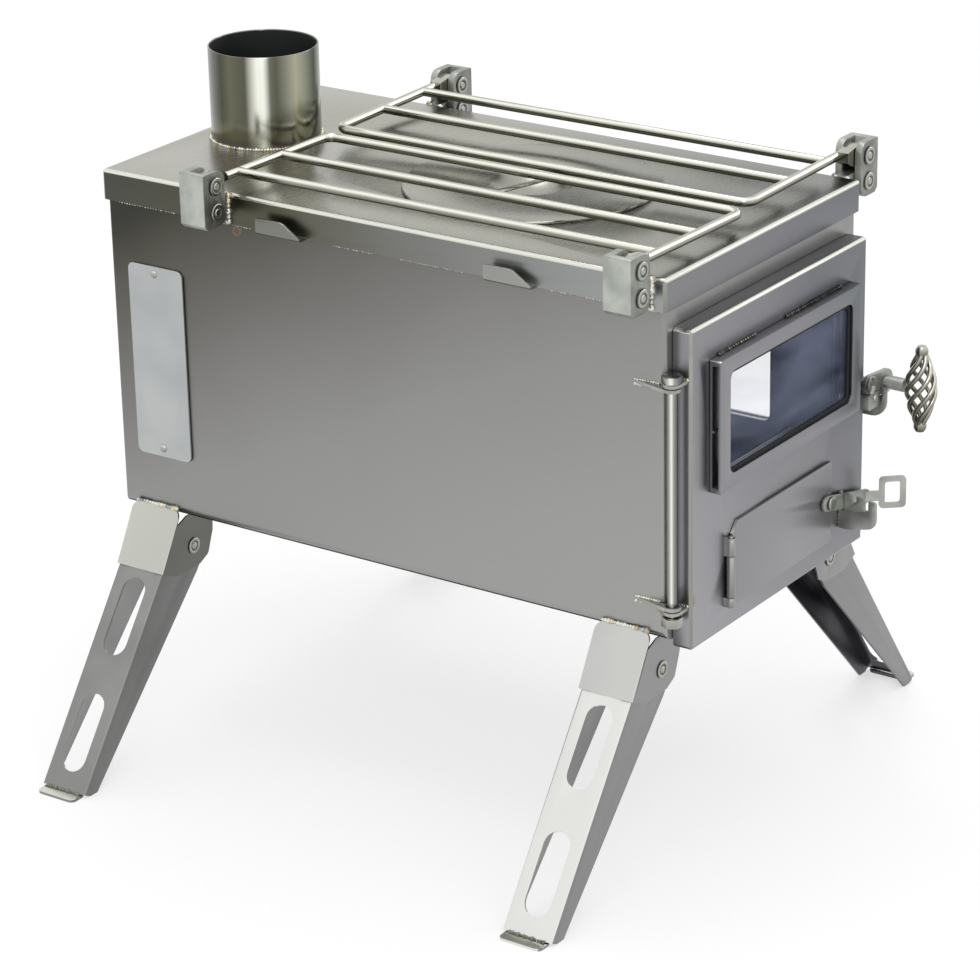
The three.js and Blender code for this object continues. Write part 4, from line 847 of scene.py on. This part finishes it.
def bead_tree():
    """Geometry Nodes: a weld bead of uneven drops along a path of edges. Smallest and Largest
    are the drops' sizes as shares of their radius."""
    tree = bpy.data.node_groups.new("weld_bead", "GeometryNodeTree")
    tree.interface.new_socket("Path", in_out="INPUT", socket_type="NodeSocketGeometry")
    for name, value in (("Pitch", 1.6 * MM), ("Drop radius", 1.2 * MM), ("Smallest", 0.6),
                        ("Largest", 1.2)):
        socket = tree.interface.new_socket(name, in_out="INPUT", socket_type="NodeSocketFloat")
        socket.default_value = value
    tree.interface.new_socket("Bead", in_out="OUTPUT", socket_type="NodeSocketGeometry")
    sizes = add(tree, "NodeGroupInput")
    curve = add(tree, "GeometryNodeMeshToCurve", Mesh=sizes)
    points = add(tree, "GeometryNodeResampleCurve", {"mode": "LENGTH"},
                 Curve=curve, Length=sizes.outputs["Pitch"])
    drop = add(tree, "GeometryNodeMeshUVSphere", {"Segments": 8, "Rings": 6},
               Radius=sizes.outputs["Drop radius"])
    scale = add(tree, "FunctionNodeRandomValue", {"data_type": "FLOAT", "Seed": 7},
                Min=sizes.outputs["Smallest"], Max=sizes.outputs["Largest"])
    spin = add(tree, "FunctionNodeRandomValue",
               {"data_type": "FLOAT_VECTOR", "Seed": 3, "Max": [FULL_TURN] * 3})
    placed = add(tree, "GeometryNodeInstanceOnPoints",
                 Points=points, Instance=drop, Rotation=spin, Scale=scale)
    real = add(tree, "GeometryNodeRealizeInstances", Geometry=placed)
    soft = add(tree, "GeometryNodeSetShadeSmooth", Geometry=real)
    painted = add(tree, "GeometryNodeSetMaterial", {"Material": weld_finish}, Geometry=soft)
    add(tree, "NodeGroupOutput", Bead=painted)
    return tree


BEAD = bead_tree()


def weld(name, body, paths, radius, pitch=1.6, finish=weld_finish):
    """Weld beads along paths of points, all in millimetres, as one mesh on a body."""
    points = [at(*p) for path in paths for p in path]
    lines, count = [], 0
    for path in paths:
        lines += [(count + i, count + i + 1) for i in range(len(path) - 1)]
        count += len(path)
    mesh = bpy.data.meshes.new(name)
    mesh.from_pydata(points, lines, [])
    piece = in_scene(name, mesh)
    bead = piece.modifiers.new("bead", "NODES")
    bead.node_group = BEAD
    for item in BEAD.interface.items_tree:
        if item.name == "Pitch":
            bead[item.identifier] = pitch * MM
        if item.name == "Drop radius":
            bead[item.identifier] = radius * MM
    mesh = applied(piece)
    mesh.name = name
    new_piece(name, mesh, (finish,), body)


# Round the collar, over each bracket, up both sides of each lug, over and under each ear of
# the body, in runs under the left skirt, and at the ears of the door.
collar_ring = [(*point, LID_TOP + 0.4) for point in arc(*COLLAR_AXIS, 32.6, 0, 360, 48)]
bracket_tops = [[(x, y - 14, 5.4), (x, y + 14, 5.4)] for x in (101, -101) for y in BRACKET_Y]
lug_sides = [[(x, y, 189.8), (x, y, 205.2)]
             for x in (102, -102) for lug in LUG_Y for y in (lug - 4, lug + 4)]
ear_sides = [[(-100.2, -184, z), (-100.2, -169.5, z)]
             for ear in (21.3, 145.3) for z in (ear, ear + 2.6)]
skirt_runs = [[(-100.5, y, 187.8), (-100.5, y + run, 187.8)] for y, run in (
    (-183, 20), (-150, 32), (-100, 14), (-60, 40), (0, 26), (84, 30), (138, 40))]
door_ears = [[(-92.9, -197, z), (-92.9, -192, z)] for z in (21.3, 150.2)]
weld("welds_collar", "stove", [collar_ring], 1.1, 1.7)
weld("welds_brackets", "stove", bracket_tops, 1.6, 2.0)
weld("welds_lugs", "stove", lug_sides, 2.2, 2.6)
weld("welds_ears", "stove", ear_sides, 1.0)
weld("welds_skirt", "stove", skirt_runs, 0.8, 1.9)
weld("welds_door", "door", door_ears, 0.9)

# Scale where welds were ground: along the window frame's top, by the flap, and over the feet.
weld("scale_window_frame", "door", [
    [(-66, -200.2, 157.0), (-30, -200.2, 157.0)], [(4, -200.2, 157.0), (62, -200.2, 157.0)],
    [(64.2, -199.9, 34), (64.2, -199.9, 13)]], 0.7, 2.3, scale_finish)
for side, end in CORNERS:
    x, y = 199.2 * (1 if side == "right" else -1), BRACKET_Y[end == "rear"]
    weld(f"welds_foot_{side}_{end}", f"leg_{side}_{end}",
         [[(x, y - 11, -139.6), (x, y + 11, -139.6)]], 1.0, 1.8, scale_finish)


def dome(name, body, centre, axis, radius, height):
    """A small domed rivet or screw head, sunk a little into what it sits on."""
    steps, sink = 6, 0.2
    profile = [(0, height)] + [(radius * math.sin(a), height * math.cos(a))
                               for a in (math.pi / 2 * i / steps for i in range(1, steps + 1))]
    profile += [(radius, -sink), (0, -sink)]
    new_piece(name, turned(profile, centre, 24, axis), (pin_finish,), body)


for name, z in (("plate_rivet_upper", 148.3), ("plate_rivet_lower", 41.8)):
    dome(name, "stove", at(-101.4, 155, z), (-1, 0, 0), 2.3, 1.2)
dome("guide_screw", "door", at(93.5, -205.8, 82), (0, -1, 0), 2.0, 1.3)
window_pin = rod_mesh([at(-76.8, -203, 117), at(-70.5, -203, 117)], 0.75 * MM, 12)
new_piece("window_retaining_pin", window_pin, (pin_finish,), "door")


# ---------------------------------------------------------------- camera, light, floor
def camera():
    """The camera's place, turn and lens, as solved from the edges of the box."""
    data = bpy.data.cameras.new("camera")
    data.sensor_width = 36.0
    data.lens = 136.91
    data.clip_end = 50.0
    data.dof.use_dof = False
    view = in_scene("camera", data)
    azimuth, elevation, roll = (math.radians(d) for d in (-54.884, 22.047, -1.203))
    back = Vector((math.sin(azimuth) * math.cos(elevation), -math.cos(azimuth) * math.cos(elevation),
                   math.sin(elevation)))
    right = Vector((0, 0, 1)).cross(back).normalized()
    up = back.cross(right)
    across = right * math.cos(roll) + up * math.sin(roll)
    upward = up * math.cos(roll) - right * math.sin(roll)
    turn = Matrix((across, upward, back)).transposed()
    view.matrix_world = Matrix.Translation(at(-1641.16, -1158.71, 827.65)) @ turn.to_4x4()
    bpy.context.scene.camera = view


def area_light(name, place, aim, size, power):
    """A rectangular lamp at a place, turned to its aim, in metres and watts."""
    data = bpy.data.lights.new(name, "AREA")
    data.shape = "RECTANGLE"
    data.size, data.size_y = size
    data.energy = power
    lamp = in_scene(name, data)
    lamp.location = place
    lamp.rotation_euler = (Vector(place) - Vector(aim)).to_track_quat("Z", "Y").to_euler()


def floor():
    """Matt white paper, with a faint tooth. What is seen of it is partly plain white light, so
    that it is as white as the surround and still keeps the stove's shadow."""
    mesh = bpy.data.meshes.new("floor")
    half = 6.0
    mesh.from_pydata([(-half, -half, 0), (half, -half, 0), (half, half, 0), (-half, half, 0)], [],
                     [(0, 1, 2, 3)])
    material, tree, shader, place = new_material(
        "matt_white_paper", Roughness=0.9, Specular_IOR_Level=0.1)
    grain = add(tree, "ShaderNodeTexNoise", {"Scale": 1 / (3 * MM), "Detail": 2.0}, Vector=place)
    base = add(tree, "ShaderNodeValToRGB", {"stops": [(0.3, "#fcfcfc"), (0.7, "#ffffff")]}, Fac=grain)
    plug(tree, shader, Base_Color=base)
    share = add(tree, "ShaderNodeMath", {"operation": "MULTIPLY", 1: 0.6}, _0=seen_rays(tree))
    bright = add(tree, "ShaderNodeEmission", {"Color": "#ffffff", "Strength": 1.0})
    both = add(tree, "ShaderNodeMixShader", Fac=share, _1=shader, _2=bright)
    output = next(n for n in tree.nodes if n.bl_idname == "ShaderNodeOutputMaterial")
    tree.links.new(both.outputs[0], output.inputs["Surface"])
    mesh.materials.append(material)
    in_scene("floor", mesh)


def world():
    """A plain white surround; what is seen, mirrored or looked through is white as well."""
    sky = bpy.data.worlds.new("studio")
    bpy.context.scene.world = sky
    sky.use_nodes = True
    tree = sky.node_tree
    tree.nodes.clear()
    soft = add(tree, "ShaderNodeBackground", {"Color": "#ffffff", "Strength": 0.95})
    white = add(tree, "ShaderNodeBackground", {"Color": "#ffffff", "Strength": 1.0})
    both = add(tree, "ShaderNodeMixShader", Fac=seen_rays(tree), _1=soft, _2=white)
    add(tree, "ShaderNodeOutputWorld", Surface=both)


camera()
world()
floor()
area_light("overhead_strip", (0.1, 0.1, 1.7), (0, 0, 0.3), (0.3, 1.8), 6)
area_light("key", (-1.6, -1.2, 1.9), (0, 0, 0.25), (0.6, 0.6), 5)
area_light("fill", (1.8, -1.0, 1.2), (0, 0, 0.25), (0.6, 0.6), 2)
bpy.context.scene.view_settings.view_transform = "Standard"
